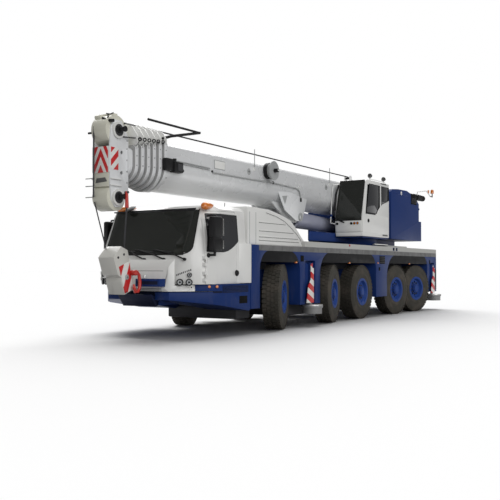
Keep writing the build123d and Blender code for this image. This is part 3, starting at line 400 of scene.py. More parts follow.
@dataclass(frozen=True)
class Steel(Finish):
    """Bare or plated steel with long brush marks."""

    colour: Colour
    roughness: float = 0.3
    metallic: float = 1.0

    def mixed(self, sheet: ShaderSheet) -> bpy.types.Material:
        """Lay the finish out on a sheet."""
        brush = sheet.noise(60.0, 4.0, (0.08, 1.0, 1.0))
        stain = sheet.noise(6.0, 4.0)
        colour = sheet.mix(stain, darker(self.colour, 0.85), self.colour)
        rough = brush * 0.15 + stain * 0.12 + (self.roughness - 0.1)
        return sheet.paint(
            Base_Color=colour, Roughness=rough, Metallic=self.metallic, Normal=sheet.bump(brush, 0.0004, 0.4)
        )


@dataclass(frozen=True)
class Glass(Finish):
    """Smoked safety glass, seen as a dark glossy sheet with a little of the inside showing."""

    colour: Colour
    opacity: float = 0.8

    def mixed(self, sheet: ShaderSheet) -> bpy.types.Material:
        """Lay the finish out on a sheet."""
        film = sheet.noise(2.0, 3.0)
        smear = sheet.noise(14.0, 4.0, (1.0, 1.0, 0.4))
        sheet.material.surface_render_method = "BLENDED"
        return sheet.paint(
            Base_Color=sheet.mix(film, *shades(self.colour, 0.2)),
            Roughness=smear * 0.08 + 0.02,
            Alpha=film * 0.06 + self.opacity,
            Specular_IOR_Level=0.3,
            Coat_Weight=0.15,
            Coat_Roughness=0.03,
        )


@dataclass(frozen=True)
class Lamp(Finish):
    """A ribbed lamp lens."""

    colour: Colour
    ribs: float = 60.0
    glow: float = 0.0

    def mixed(self, sheet: ShaderSheet) -> bpy.types.Material:
        """Lay the finish out on a sheet."""
        wave = (sheet.axis("Y") * (self.ribs * math.tau)).maths("SINE") * 0.5 + 0.5
        colour = sheet.mix(wave, darker(self.colour, 0.75), self.colour)
        glow = sheet.mix(wave, darker(self.colour, self.glow * 0.7), darker(self.colour, self.glow))
        return sheet.paint(
            Base_Color=colour,
            Roughness=sheet.noise(20.0) * 0.1 + 0.08,
            Coat_Weight=0.8,
            Emission_Color=glow,
            Emission_Strength=1.0,
            Normal=sheet.bump(wave, 0.001, 0.5),
        )


@dataclass(frozen=True)
class Stripes(Finish):
    """Red and white warning stripes that slant across a plate, as a chevron where they mirror."""

    pitch: float = 0.28
    across: str = "Y"
    slope: float = 1.0
    chevron: bool = False
    phase: float = 0.0
    red: Colour = (0.58, 0.012, 0.014)
    white: Colour = (0.82, 0.81, 0.78)
    dirt: Colour = (0.3, 0.26, 0.22)

    def mixed(self, sheet: ShaderSheet) -> bpy.types.Material:
        """Lay the finish out on a sheet."""
        across = sheet.axis(self.across)
        if self.chevron:
            across = across.maths("ABSOLUTE")
        ramp = (across * self.slope + sheet.axis("Z") - self.phase) / self.pitch
        band = ramp.maths("FRACT").step(0.47, 0.5)
        worn = sheet.noise(25.0, 5.0)
        colour = sheet.mix(band, self.white, self.red)
        dusty = sheet.mix(worn.step(0.5, 0.85) * 0.35, colour, self.dirt)
        fine = (sheet.axis("Z") * 900.0).maths("SINE") * 0.5 + 0.5
        return sheet.paint(Base_Color=dusty, Roughness=worn * 0.2 + 0.3, Normal=sheet.bump(fine, 0.0003, 0.3))


@dataclass(frozen=True)
class TreadPlate(Finish):
    """Painted deck plate with a raised anti-slip pattern, dark mudguards below and a pale walkway on top."""

    colour: Colour
    guard: Colour
    guard_top: float
    walkway: Colour
    walkway_foot: float
    ridges_scale: float = 150.0

    def mixed(self, sheet: ShaderSheet) -> bpy.types.Material:
        """Lay the finish out on a sheet."""
        along, across = ((sheet.axis(name) * self.ridges_scale).maths("SINE") for name in "XY")
        ridges = along * across
        guard = sheet.axis("Z").below(self.guard_top)
        height = ridges.step(0.2, 0.6) * (1.0 - guard)
        worn = sheet.noise(5.0, 5.0)
        plate = sheet.mix(worn.step(0.35, 0.8), self.colour, darker(self.colour, 0.72))
        walkway = sheet.axis("Z").above(self.walkway_foot)
        colour = sheet.mix(walkway, sheet.mix(guard, plate, self.guard), self.walkway)
        return sheet.paint(
            Base_Color=colour,
            Roughness=worn * 0.3 + 0.4,
            Specular_IOR_Level=0.12,
            Normal=sheet.bump(height, 0.002, 0.7),
        )


@dataclass(frozen=True)
class StudioFloor(Finish):
    """A pale floor that the camera sees white where it is lit and grey in the shadow.

    What it throws back on to the crane is kept low, as on a dark studio floor.
    """

    seen_shade: float = 0.98
    bounce_shade: float = 0.25

    def mixed(self, sheet: ShaderSheet) -> bpy.types.Material:
        """Lay the finish out on a sheet."""
        light = sheet.raw("ShaderNodeLightPath", {}, {})
        camera, glossy, through = (
            Field(sheet, light.outputs[f"Is {kind} Ray"]) for kind in ("Camera", "Glossy", "Transmission")
        )
        seen = (camera + glossy + through).maths("MINIMUM", 1.0)
        shade = sheet.mix(seen, (self.bounce_shade,) * 3, (self.seen_shade,) * 3)
        return sheet.paint(Base_Color=shade, Roughness=0.9, Specular_IOR_Level=0.0)


WHITE = Paint("warm_white_paint", "white_paint", (0.80, 0.80, 0.78), roughness=0.3, coat=0.3, dust=0.2)
# Painted shade: the boom's white is a little darker than the cab's white, for the shade along the boom.
BOOM_SHADED_WHITE = Paint("boom_shaded_white_paint", "white_paint", (0.76, 0.77, 0.78), roughness=0.28, coat=0.3, dust=0.1)
# Painted shade: dark grey on each collar's front face, which faces away from the light.
COLLAR_FACE_SHADE = Paint("collar_face_painted_shade", "white_paint", (0.36, 0.36, 0.36), roughness=0.4, coat=0.1, dust=0.1)
CREAM = Paint("cream_guard_paint", "white_paint", (0.68, 0.67, 0.57), roughness=0.4, coat=0.2, dust=0.2)
GREY = Paint("grey_deck_paint", "grey_paint", (0.36, 0.37, 0.37), roughness=0.5, coat=0.1, dust=0.2)
BLUE = Paint(
    "deep_blue_paint", "blue_paint", (0.01, 0.032, 0.145), roughness=0.42, coat=0.0, dust=0.1, gloss=0.14
)
RIM_BLUE = Paint(
    "rim_blue_paint", "rim_blue", (0.018, 0.055, 0.24), roughness=0.45, coat=0.0, dust=0.1, gloss=0.14
)
# Painted reflection: the luffing cylinder's blue is lightened to a pale grey-blue for the bright studio
# reflected in it.
BARREL_PAINTED_SHEEN = Paint("barrel_blue_painted_sheen", "blue_paint", (0.30, 0.31, 0.39), roughness=0.3, coat=0.3, dust=0.1)
RED = Paint("hook_red_paint", "hook_red", (0.55, 0.03, 0.02), roughness=0.35, coat=0.3, dust=0.1)
BLOCK_GREY = Paint("hook_block_grey", "hook_red", (0.62, 0.61, 0.57), roughness=0.35, coat=0.2, dust=0.3)
DECK = TreadPlate(
    "deck_tread_plate", "grey_paint", (0.20, 0.20, 0.20),
    guard=(0.010, 0.010, 0.011), guard_top=1.636, walkway=(0.48, 0.48, 0.46), walkway_foot=1.752,
)
BLACK = Plastic("black_plastic", "dark_steel", (0.012, 0.012, 0.013), roughness=0.45)
# Painted shade: near-black for the shade inside the side hatches, the step hole and the counterweight's
# grille; the hydraulic motor also takes it as its own black.
HOLE_SHADE_BLACK = Plastic("hole_shade_black", "dark_steel", (0.003, 0.003, 0.003), roughness=0.95)
# Painted shade: a near-black copy of the blue for the side grille, the tow box's slot and the tray under the
# bumper, where the blue lies in shade.
NAVY_SHADE = Plastic("navy_grille_shade", "dark_steel", (0.003, 0.007, 0.03), roughness=0.6)
SHADE = Plastic("door_gap_shadow", "dark_steel", (0.12, 0.12, 0.12), roughness=0.7)
CAST = Steel("dark_cast_steel", "dark_steel", (0.05, 0.05, 0.055), roughness=0.6, metallic=0.3)
FOOT_STEEL = Steel("foot_steel", "bright_steel", (0.30, 0.30, 0.30), roughness=0.5, metallic=0.4)
BRIGHT = Steel("bright_steel", "bright_steel", (0.62, 0.62, 0.6), roughness=0.35)
CHROME = Steel("chrome_rod_plate", "chrome_rod", (0.78, 0.78, 0.78), roughness=0.15)
TYRE = Rubber("tyre_rubber", "tyre", (0.038, 0.035, 0.028))
SMOKED = Glass("smoked_glass", "dark_glass", (0.012, 0.016, 0.02), opacity=0.86)
SIDE_GLASS = Glass("grey_side_glass", "dark_glass", (0.035, 0.036, 0.04), opacity=0.94)
TINTED = Glass("tinted_windscreen", "dark_glass", (0.022, 0.024, 0.021), opacity=0.93)
AMBER = Lamp("amber_lens", "hook_red", (0.75, 0.20, 0.01), glow=0.08)
CLEAR = Lamp("clear_lens", "bright_steel", (0.75, 0.78, 0.8), ribs=35.0, glow=0.1)
RED_LENS = Lamp("red_lens", "hook_red", (0.5, 0.02, 0.01), glow=0.1)
POST_STRIPES = Stripes("front_post_stripes", "hook_red", across="X", slope=-0.5, pitch=0.276, phase=0.046)
REAR_STRIPES = Stripes("rear_post_stripes", "hook_red", across="X", slope=-0.5, pitch=0.276, phase=0.184)
CHEEK_STRIPES = Stripes("cheek_stripes", "hook_red", across="X", slope=1.0, pitch=0.235, phase=-0.01)
BLOCK_STRIPES = Stripes("hook_block_stripes", "hook_red", across="X", slope=2.76, pitch=0.78, phase=0.38)
HEAD_CHEVRON = Stripes(
    "head_chevron_stripes", "hook_red", across="Y", slope=2.0, chevron=True, pitch=0.29, phase=3.37
)
FLOOR = StudioFloor("studio_floor", "")


# Modelling


@dataclass(frozen=True)
class Zone:
    """Faces of a piece whose middles lie in a box take another finish."""

    low: Point
    high: Point
    finish: Finish
    inward: bool = False

    def holds(self, middle: Vector, normal: Vector) -> bool:
        """True if a face's middle is in the zone, and if it looks inwards where that is asked."""
        low, high = at(*self.low), at(*self.high)
        if self.inward and normal.dot((low + high) / 2 - middle) < 0:
            return False
        return all(low[i] <= middle[i] <= high[i] for i in range(3))


def shown(name: str, data: bpy.types.ID) -> bpy.types.Object:
    """A new object in the scene with this mesh, curve, light or camera."""
    piece = bpy.data.objects.new(name, data)
    bpy.context.scene.collection.objects.link(piece)
    return piece


class Bench:
    """The modelling bench: each method makes one mesh piece in place, with Blender's own tools."""

    def clear(self) -> None:
        """Leave edit mode and deselect everything."""
        if bpy.context.object and bpy.context.object.mode != "OBJECT":
            bpy.ops.object.mode_set(mode="OBJECT")
        bpy.ops.object.select_all(action="DESELECT")

    def pick(self, *pieces: bpy.types.Object) -> None:
        """Select pieces and make the first active."""
        self.clear()
        for piece in pieces:
            piece.select_set(True)
        bpy.context.view_layer.objects.active = pieces[0]

    @contextmanager
    def editing(self, piece: bpy.types.Object) -> Iterator[None]:
        """Edit mode on a piece, with all of it selected."""
        self.pick(piece)
        bpy.ops.object.mode_set(mode="EDIT")
        bpy.ops.mesh.select_all(action="SELECT")
        yield
        bpy.ops.object.mode_set(mode="OBJECT")

    def settle(self, piece: bpy.types.Object, name: str) -> bpy.types.Object:
        """Apply a piece's place and name it.

        Args:
            piece: The piece.
            name: Its name.

        Returns:
            The piece.
        """
        self.pick(piece)
        bpy.ops.object.transform_apply(location=True, rotation=True, scale=True)
        piece.name = name
        piece.data.name = name
        return piece

    def modify(self, piece: bpy.types.Object, kind: str, **settings: object) -> None:
        """Add a modifier and apply it.

        Args:
            piece: The piece.
            kind: The modifier's type.
            settings: Its settings.
        """
        self.pick(piece)
        modifier = piece.modifiers.new(kind.lower(), kind)
        for key, value in settings.items():
            setattr(modifier, key, value)
        bpy.ops.object.modifier_apply(modifier=modifier.name)

    def round_edges(self, piece: bpy.types.Object, width: float = 0.0, angle: float = 30.0) -> None:
        """Round a piece's sharp edges and smooth its shading.

        Args:
            piece: The piece.
            width: Width of the rounding; none leaves the edges as they are.
            angle: Edges sharper than this are rounded.
        """
        if width:
            self.modify(
                piece, "BEVEL", width=width, segments=2, limit_method="ANGLE",
                angle_limit=math.radians(angle), use_clamp_overlap=True, harden_normals=False,
            )
        self.pick(piece)
        bpy.ops.object.shade_smooth_by_angle(angle=math.radians(SMOOTH_ANGLE))

    def face_out(self, piece: bpy.types.Object) -> None:
        """Merge doubles and turn all faces outwards."""
        with self.editing(piece):
            bpy.ops.mesh.remove_doubles(threshold=MERGE_DISTANCE)
            bpy.ops.mesh.normals_make_consistent(inside=False)

    def block(self, name: str, low: Point, high: Point, edge: float = 0.008) -> bpy.types.Object:
        """A block with rounded edges between two corners.

        Args:
            name: The piece's name.
            low: Its lowest corner.
            high: Its highest corner.
            edge: Width of its rounded edges.

        Returns:
            The piece.
        """
        a, b = at(*low), at(*high)
        self.clear()
        bpy.ops.mesh.primitive_cube_add(size=1.0, location=(a + b) / 2)
        piece = bpy.context.object
        piece.scale = [abs(b[i] - a[i]) for i in range(3)]
        self.settle(piece, name)
        self.round_edges(piece, edge)
        return piece

    def rod(
        self, name: str, start: Point, end: Point, radius: float,
        tip: float | None = None, sides: int = 20, edge: float = 0.0,
    ) -> bpy.types.Object:
        """A round rod or cone between two places.

        Args:
            name: The piece's name.
            start: Middle of its first end.
            end: Middle of its second end.
            radius: Its radius.
            tip: Radius at its second end, if other.
            sides: Flats round it.
            edge: Width of its rounded rims.

        Returns:
            The piece.
        """
        a, b = at(*start), at(*end)
        run = b - a
        self.clear()
        bpy.ops.mesh.primitive_cone_add(
            vertices=sides, radius1=radius, radius2=radius if tip is None else tip, depth=run.length,
            location=(a + b) / 2, rotation=run.to_track_quat("Z", "Y").to_euler(),
        )
        piece = self.settle(bpy.context.object, name)
        self.round_edges(piece, edge, angle=50.0)
        return piece

    def plate(
        self, name: str, outline: Sequence[Pair], view: View, low: float, high: float, edge: float = 0.006
    ) -> bpy.types.Object:
        """An outline drawn in a flat view, extruded between two depths.

        Args:
            name: The piece's name.
            outline: Its corners: x and z from the side, y and z from the front, x and y from above.
            view: The view.
            low: The first depth.
            high: The second depth.
            edge: Width of its rounded edges.

        Returns:
            The piece.
        """
        placed: dict[View, Callable[[float, float], Vector]] = {
            View.SIDE: lambda a, b: at(a, low, b),
            View.FRONT: lambda a, b: at(low, a, b),
            View.LEVEL: lambda a, b: at(a, b, low),
        }
        along = {View.SIDE: LEFT, View.FRONT: FORWARD, View.LEVEL: UP}
        self.clear()
        bpy.ops.mesh.primitive_circle_add(vertices=len(outline), fill_type="NGON")
        piece = bpy.context.object
        for vertex, (a, b) in zip(piece.data.vertices, outline):
            vertex.co = placed[view](a, b)
        move = Vector(along[view]) * (high - low)
        with self.editing(piece):
            bpy.ops.mesh.extrude_region_move(TRANSFORM_OT_translate={"value": move})
            bpy.ops.mesh.select_all(action="SELECT")
            bpy.ops.mesh.normals_make_consistent(inside=False)
        piece.name = piece.data.name = name
        self.round_edges(piece, edge)
        return piece

    def pipe(self, name: str, points: Sequence[Point], radius: float) -> bpy.types.Object:
        """A bent rod or hose through points.

        Args:
            name: The piece's name.
            points: Its bends.
            radius: Its radius.

        Returns:
            The piece.
        """
        curve = bpy.data.curves.new(name, "CURVE")
        curve.dimensions = "3D"
        curve.bevel_depth = radius
        curve.bevel_resolution = PIPE_ROUNDNESS
        curve.use_fill_caps = True
        spline = curve.splines.new("POLY")
        spline.points.add(len(points) - 1)
        for spot, point in zip(spline.points, points):
            spot.co = (*at(*point), 1.0)
        self.pick(shown(name, curve))
        bpy.ops.object.convert(target="MESH")
        piece = bpy.context.object
        piece.name = piece.data.name = name
        self.round_edges(piece)
        return piece

    def turning(
        self, name: str, profile: Sequence[Pair], middle: Point, axis: Point, steps: int
    ) -> bpy.types.Object:
        """A turned piece: a profile of radius and height, spun round an axis.

        Args:
            name: The piece's name.
            profile: Radius and height along the axis, from one end to the other.
            middle: Where height zero is.
            axis: Direction of the axis.
            steps: Steps round.

        Returns:
            The piece.
        """
        self.clear()
        bpy.ops.mesh.primitive_circle_add(vertices=len(profile), fill_type="NOTHING")
        piece = bpy.context.object
        for vertex, (radius, height) in zip(piece.data.vertices, profile):
            vertex.co = (radius, 0.0, height)
        self.modify(
            piece, "SCREW", angle=math.tau, steps=steps, render_steps=steps, axis="Z",
            use_merge_vertices=True, merge_threshold=0.0001, use_normal_calculate=True,
        )
        self.face_out(piece)
        turn = Vector(axis).to_track_quat("Z", "X").to_matrix().to_4x4()
        piece.data.transform(Matrix.Translation(at(*middle)) @ turn)
        piece.name = piece.data.name = name
        self.round_edges(piece)
        return piece

    def from_node(self, node: str, name: str, edge: float) -> bpy.types.Object:
        """A copy of a CAD node with its edges rounded, to stand for it.

        Args:
            node: The node's name.
            name: The piece's name.
            edge: Width of its rounded edges.

        Returns:
            The piece.
        """
        piece = shown(name, cad_node(node).data.copy())
        piece.data.name = name
        piece.data.materials.clear()
        self.pick(piece)
        bpy.ops.mesh.customdata_custom_splitnormals_clear()
        with self.editing(piece):
            bpy.ops.mesh.remove_doubles(threshold=MERGE_DISTANCE)
            bpy.ops.mesh.dissolve_limited(angle_limit=math.radians(FLAT_ANGLE), delimit={"NORMAL"})
        self.round_edges(piece, edge)
        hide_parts(node)
        return piece

    def copied(self, piece: bpy.types.Object, name: str, change: Matrix) -> bpy.types.Object:
        """A copy of a piece with its own mesh, moved by a matrix.

        Args:
            piece: The piece.
            name: The copy's name.
            change: Where it goes.

        Returns:
            The copy.
        """
        twin = shown(name, piece.data.copy())
        twin.data.name = name
        twin.data.transform(change)
        if change.determinant() < 0:
            with self.editing(twin):
                bpy.ops.mesh.flip_normals()
        return twin

    def mirrored(self, piece: bpy.types.Object, name: str) -> bpy.types.Object:
        """The same piece for the other side of the crane."""
        return self.copied(piece, name, Matrix.Scale(-1.0, 4, (0, 1, 0)))

    def joined(self, name: str, pieces: Sequence[bpy.types.Object]) -> bpy.types.Object:
        """Join pieces that ride together into one.

        Args:
            name: The joined piece's name.
            pieces: The pieces, with their finishes on.

        Returns:
            The piece.
        """
        self.pick(*pieces)
        if len(pieces) > 1:
            bpy.ops.object.join()
        piece = bpy.context.object
        piece.name = piece.data.name = name
        return piece


FRAME: dict = {}
BENCH = Bench()


def cad_node(name: str) -> bpy.types.Object:
    """The CAD node of a name."""
    return FRAME["nodes"][name]


def dress(piece: bpy.types.Object, finish: Finish, zones: Iterable[Zone] = ()) -> bpy.types.Object:
    """Give a piece its finish, and others by zone.

    Args:
        piece: The piece.
        finish: Its finish.
        zones: Zones with other finishes; the last that holds a face wins.

    Returns:
        The piece.
    """
    piece.data.materials.clear()
    piece.data.materials.append(finish.build())
    for number, zone in enumerate(zones, start=1):
        piece.data.materials.append(zone.finish.build())
        for face in piece.data.polygons:
            if zone.holds(face.center, face.normal):
                face.material_index = number
    return piece


def reshape(piece: bpy.types.Object, move: Callable[[float, float, float], Point]) -> None:
    """Move a piece's corners.

    Args:
        piece: The piece.
        move: Gives a corner's new place for its old one, both measured from the front axle.
    """
    for vertex in piece.data.vertices:
        vertex.co = at(*move(vertex.co.x - FRONT_AXLE, vertex.co.y, vertex.co.z))


class Assembly:
    """A sub-assembly of the crane: its pieces ride on CAD bodies and are reported when they are done."""

    def seat(self, piece: bpy.types.Object, body: str, finish: Finish) -> bpy.types.Object:
        """Put a finished piece on its body.

        Args:
            piece: The piece.
            body: The CAD body that it rides on.
            finish: Not used.

        Returns:
            The piece.
        """
        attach(piece, body)
        log.info("%s rides on %s, %d faces", piece.name, body, len(piece.data.polygons))
        return piece

    def softened(
        self, node: str, body: str, finish: Finish, edge: float, zones: Iterable[Zone] = ()
    ) -> bpy.types.Object:
        """A CAD node with rounded edges and its finish.

        Args:
            node: The node's name.
            body: Its body.
            finish: Its finish.
            edge: Width of the rounding.
            zones: Zones with other finishes.

        Returns:
            The piece.
        """
        piece = dress(BENCH.from_node(node, f"{node}_shell", edge), finish, zones)
        return self.seat(piece, body, finish)

    def close(self, kit: "Kit") -> bpy.types.Object:
        return self.seat(BENCH.joined(kit.name, kit.parts), kit.body, kit.finish)

    def coat(self, node: str, finish: Finish) -> None:
        """Give a CAD node that stays its finish."""
        mesh = cad_node(node).data
        mesh.materials.clear()
        mesh.materials.append(finish.build())


class Kit:
    """Small pieces on one body, joined into one when they are all there."""

    def __init__(self, name: str, body: str, finish: Finish) -> None:
        """Start a kit.

        Args:
            name: Name of the joined piece.
            body: The CAD body that it rides on.
        """
        self.name = name
        self.body = body
        self.finish = finish
        self.parts: list[bpy.types.Object] = []

    def add(self, part: bpy.types.Object, finish: Finish | None = None) -> bpy.types.Object:
        """Finish a piece and keep it."""
        self.parts.append(dress(part, finish or self.finish))
        return part

    def next_name(self) -> str:
        """A name for the next piece."""
        return f"{self.name}_{len(self.parts)}"

    def block(self, low: Point, high: Point, finish: Finish | None = None, edge: float = 0.006) -> None:
        """Add a block between two corners."""
        self.add(BENCH.block(self.next_name(), low, high, edge), finish)

    def plate(
        self, view: View, depths: Pair, outline: Sequence[Pair],
        finish: Finish | None = None, edge: float = 0.005,
    ) -> None:
        """Add an extruded outline between two depths."""
        self.add(BENCH.plate(self.next_name(), outline, view, *depths, edge=edge), finish)

    def rod(
        self, start: Point, end: Point, radius: float,
        finish: Finish | None = None, tip: float | None = None, edge: float = 0.004,
    ) -> None:
        """Add a round rod or cone between two places."""
        self.add(BENCH.rod(self.next_name(), start, end, radius, tip, edge=edge), finish)

    def pipe(self, points: Sequence[Point], radius: float, finish: Finish | None = None) -> None:
        """Add a bent rod through points."""
        self.add(BENCH.pipe(self.next_name(), points, radius), finish)

    def turned(
        self, profile: Sequence[Pair], middle: Point, axis: Point,
        finish: Finish | None = None, steps: int = 32,
    ) -> None:
        """Add a turned piece."""
        self.add(BENCH.turning(self.next_name(), profile, middle, axis, steps), finish)

    def twin(self) -> None:
        """Add the mirror image of all pieces so far for the other side."""
        for part in list(self.parts):
            self.parts.append(BENCH.mirrored(part, self.next_name()))


def curved_sheet(
    name: str, rise: Pair, edges: Callable[[float], Pair], place: Callable[[float, float], Point],
    thickness: float, columns: int = 40, rows: int = 20,
) -> bpy.types.Object:
    """A sheet that follows a curved surface.

    Args:
        name: Its name.
        rise: Its lowest and highest z.
        edges: Its two ends across, at a height.
        place: Where a point across it lies, at a height.
        thickness: Its thickness.
        columns: Steps across.
        rows: Steps up.

    Returns:
        The sheet.
    """
    BENCH.clear()
    bpy.ops.mesh.primitive_grid_add(x_subdivisions=columns, y_subdivisions=rows, size=2.0)
    sheet = bpy.context.object
    for vertex in sheet.data.vertices:
        z = rise[0] + (rise[1] - rise[0]) * (vertex.co.y + 1) / 2
        first, last = edges(z)
        vertex.co = at(*place(first + (last - first) * (vertex.co.x + 1) / 2, z))
    BENCH.modify(sheet, "SOLIDIFY", thickness=thickness, offset=0.0)
    sheet.name = sheet.data.name = name
    BENCH.round_edges(sheet)
    return sheet


def rim_pipes(
    kit: "Kit", edges: Callable[[float], Pair], place: Callable[[float, float], Point],
    heights: Sequence[float], ends: Pair, steps: int, radius: float,
) -> None:
    """Rubber round a curved pane, as a pipe along each of its four edges.

    Args:
        edges: The pane's two ends across, at a height.
        place: Where a point across it lies, at a height.
        heights: Heights of the points up its sides.
        ends: Heights of its lower and upper edge.
        steps: Steps across.
        radius: The rubber's radius.
    """
    for end in (0, 1):
        kit.pipe([place(edges(z)[end], z) for z in heights], radius, BLACK)
    for z in ends:
        first, last = edges(z)
        across = [first + (last - first) * step / steps for step in range(steps + 1)]
        kit.pipe([place(spot, z) for spot in across], radius, BLACK)


def lens(radius: float, depth: float) -> list[Pair]:
    """Profile of a domed lens or cap, flat side at height zero."""
    dome = ((0.0, 1.0), (0.5, 0.93), (0.85, 0.7), (1.0, 0.3), (1.0, 0.0))
    return [(radius * out, depth * up) for out, up in dome]


def side_box(side: int, near: Point, far: Point) -> tuple[Point, Point]:
    """The corners of a box on one side of the crane.

    Args:
        side: 1 on the left, -1 on the right.
        near: Its corner nearest the middle, given for the left.
        far: Its far corner, given for the left.

    Returns:
        Its lowest and highest corner.
    """
    ys = sorted((side * near[1], side * far[1]))
    return (near[0], ys[0], near[2]), (far[0], ys[1], far[2])


def ring(inner: float, outer: float, depth: float) -> list[Pair]:
    """Profile of a flat ring, closed on itself."""
    return [(inner, 0.0), (inner, depth), (outer, depth), (outer, 0.0), (inner, 0.0)]


@dataclass
class Axle:
    """One axle: its number, place and steering angle at rest, in degrees."""

    number: int
    x: float
    steer: float


AXLES = (
    Axle(1, 0.0, 20.0), Axle(2, -2.45, 13.0), Axle(3, -4.10, 0.0),
    Axle(4, -6.51, -8.0), Axle(5, -8.16, -15.0),
)


@dataclass(frozen=True)
class BoltCircle:
    """Hexagon heads on a circle round a wheel's axis: their number, places and sizes."""

    name: str
    count: int
    phase: float
    circle: float
    radius: float
    foot: float
    top: float

    def heads(self) -> Iterable[bpy.types.Object]:
        """The heads, round the frame's origin."""
        for index in range(self.count):
            turn = math.tau * (index + self.phase) / self.count
            x, y = self.circle * math.cos(turn) - FRONT_AXLE, self.circle * math.sin(turn)
            yield BENCH.rod(f"{self.name}_{index}", (x, y, self.foot), (x, y, self.top), self.radius, sides=6)


BOLT_CIRCLES = (
    BoltCircle("wheel_nut", 10, 0.5, circle=0.165, radius=0.017, foot=0.117, top=0.142),
    BoltCircle("cover_bolt", 12, 0.0, circle=0.113, radius=0.009, foot=0.171, top=0.18),
)


@dataclass
class Wheels(Assembly):
    """Ten wheels with block tread, on steering knuckles and beams."""

    radius: float = 0.6845
    width: float = 0.385
    track: float = 1.1825
    bead: float = 0.318
    tread_depth: float = 0.016
    pitches: int = 44
    lug_half_share: float = 0.36
    lug_root: float = 0.012

    def casing(self) -> bpy.types.Object:
        """The tyre's casing, turned about its own axle line at the origin."""
        half, bead, crown = self.width / 2, self.bead, self.radius - self.tread_depth
        wall = [
            (bead + 0.002, 0.026), (bead + 0.03, 0.012), (bead + 0.09, 0.004), (bead + 0.10, 0.0),
            (bead + 0.12, 0.0), (bead + 0.13, 0.006), (crown - 0.14, 0.001), (crown - 0.09, 0.006),
            (crown - 0.045, 0.016), (crown - 0.012, 0.034), (crown, 0.07),
        ]
        profile = [(radius, inset - half) for radius, inset in wall]
        profile += [(radius, half - inset) for radius, inset in reversed(wall)]
        return BENCH.turning("tyre_casing", profile, FRAME_ORIGIN, UP, steps=72)

    def lug(self, name: str, y: Pair, offset: float, reach: float) -> bpy.types.Object:
        """One tread block at the tyre's crown.

        Args:
            name: Its name.
            y: Its ends across the tread.
            offset: How far round it is shifted, in pitches.
            reach: Its outer radius.

        Returns:
            The block.
        """
        step = math.tau / self.pitches
        half = step * self.radius * self.lug_half_share
        inner = self.radius - self.tread_depth - self.lug_root
        BENCH.clear()
        bpy.ops.mesh.primitive_cube_add(size=1.0)
        block = bpy.context.object
        block.scale = (reach - inner, 2 * half, y[1] - y[0])
        block.location = ((reach + inner) / 2, 0.0, (y[0] + y[1]) / 2)
        BENCH.settle(block, name)
        block.data.transform(Matrix.Rotation(step * offset, 4, "Z"))
        return block

    def tread(self) -> bpy.types.Object:
        """All tread blocks of one tyre, spun from one pitch of them."""
        half = self.width / 2
        rows = [
            ("outer", (half - 0.105, half - 0.022), 0.0, self.radius - 0.004),
            ("outer_middle", (half - 0.182, half - 0.117), 0.5, self.radius),
            ("inner_middle", (-half + 0.117, -half + 0.182), 0.2, self.radius),
            ("inner", (-half + 0.022, -half + 0.105), 0.7, self.radius - 0.004),
        ]
        lugs = [self.lug(*row) for row in rows]
        piece = BENCH.joined("tyre_tread", lugs)
        copies = self.pitches - 1
        angle = math.tau * copies / self.pitches
        with BENCH.editing(piece):
            bpy.ops.mesh.spin(
                steps=copies, dupli=True, angle=angle, center=(0, 0, 0), axis=UP, use_auto_merge=False
            )
        return piece

    def hub(self) -> bpy.types.Object:
        """Hub trim for one rim: nuts, the drive cover with its bolts and the rim's rolled lip."""
        parts = [dress(head, CAST) for circle in BOLT_CIRCLES for head in circle.heads()]
        cover = [(0.0, 0.187), (0.05, 0.187), (0.07, 0.1905), (0.0, 0.1905)]
        parts.append(dress(BENCH.turning("hub_cap", cover, FRAME_ORIGIN, UP, steps=32), RIM_BLUE))
        lip = [(0.285, 0.12), (0.318, 0.165), (0.343, 0.165), (0.343, 0.178), (0.31, 0.178), (0.276, 0.125)]
        parts.append(dress(BENCH.turning("rim_lip", lip, FRAME_ORIGIN, UP, steps=64), RIM_BLUE))
        return BENCH.joined("hub_trim", parts)

    def place(self, axle: Axle, side: int) -> Matrix:
        """Where a wheel stands.

        Args:
            axle: Its axle.
            side: 1 on the left, -1 on the right.

        Returns:
            The turn and move from the frame's origin to its place.
        """
        steer = math.radians(axle.steer)
        outward = Vector((-side * math.sin(steer), side * math.cos(steer), 0))
        turn = outward.to_track_quat("Z", "X").to_matrix().to_4x4()
        return Matrix.Translation(at(axle.x, side * self.track, self.radius)) @ turn

    def build(self) -> None:
        """Model one wheel, copy it to its ten places and finish what carries them."""
        tyre = BENCH.joined("tyre_model", [dress(self.casing(), TYRE), dress(self.tread(), TYRE)])
        BENCH.round_edges(tyre)
        hub = self.hub()
        for axle in AXLES:
            for side_name, side in SIDES:
                end = f"{axle.number}_{side_name}"
                place = self.place(axle, side)
                piece = BENCH.copied(tyre, f"tyre_{end}_tread", place)
                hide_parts(f"tyre_{end}")
                self.seat(piece, f"wheel_{end}", TYRE)
                self.seat(BENCH.copied(hub, f"rim_{end}_hub_trim", place), f"wheel_{end}", RIM_BLUE)
                self.coat(f"rim_{end}", RIM_BLUE)
                if axle.steer:
                    self.coat(f"knuckle_{end}", CAST)
        for model in (tyre, hub):
            bpy.data.objects.remove(model)
        self.coat("axle_beams", CAST)


@dataclass(frozen=True)
class Outrigger:
    """A pair of outriggers: its place, its stripes and how far its cover plates are shifted forward."""

    position: str
    x: float
    stripes: Stripes
    shift: float


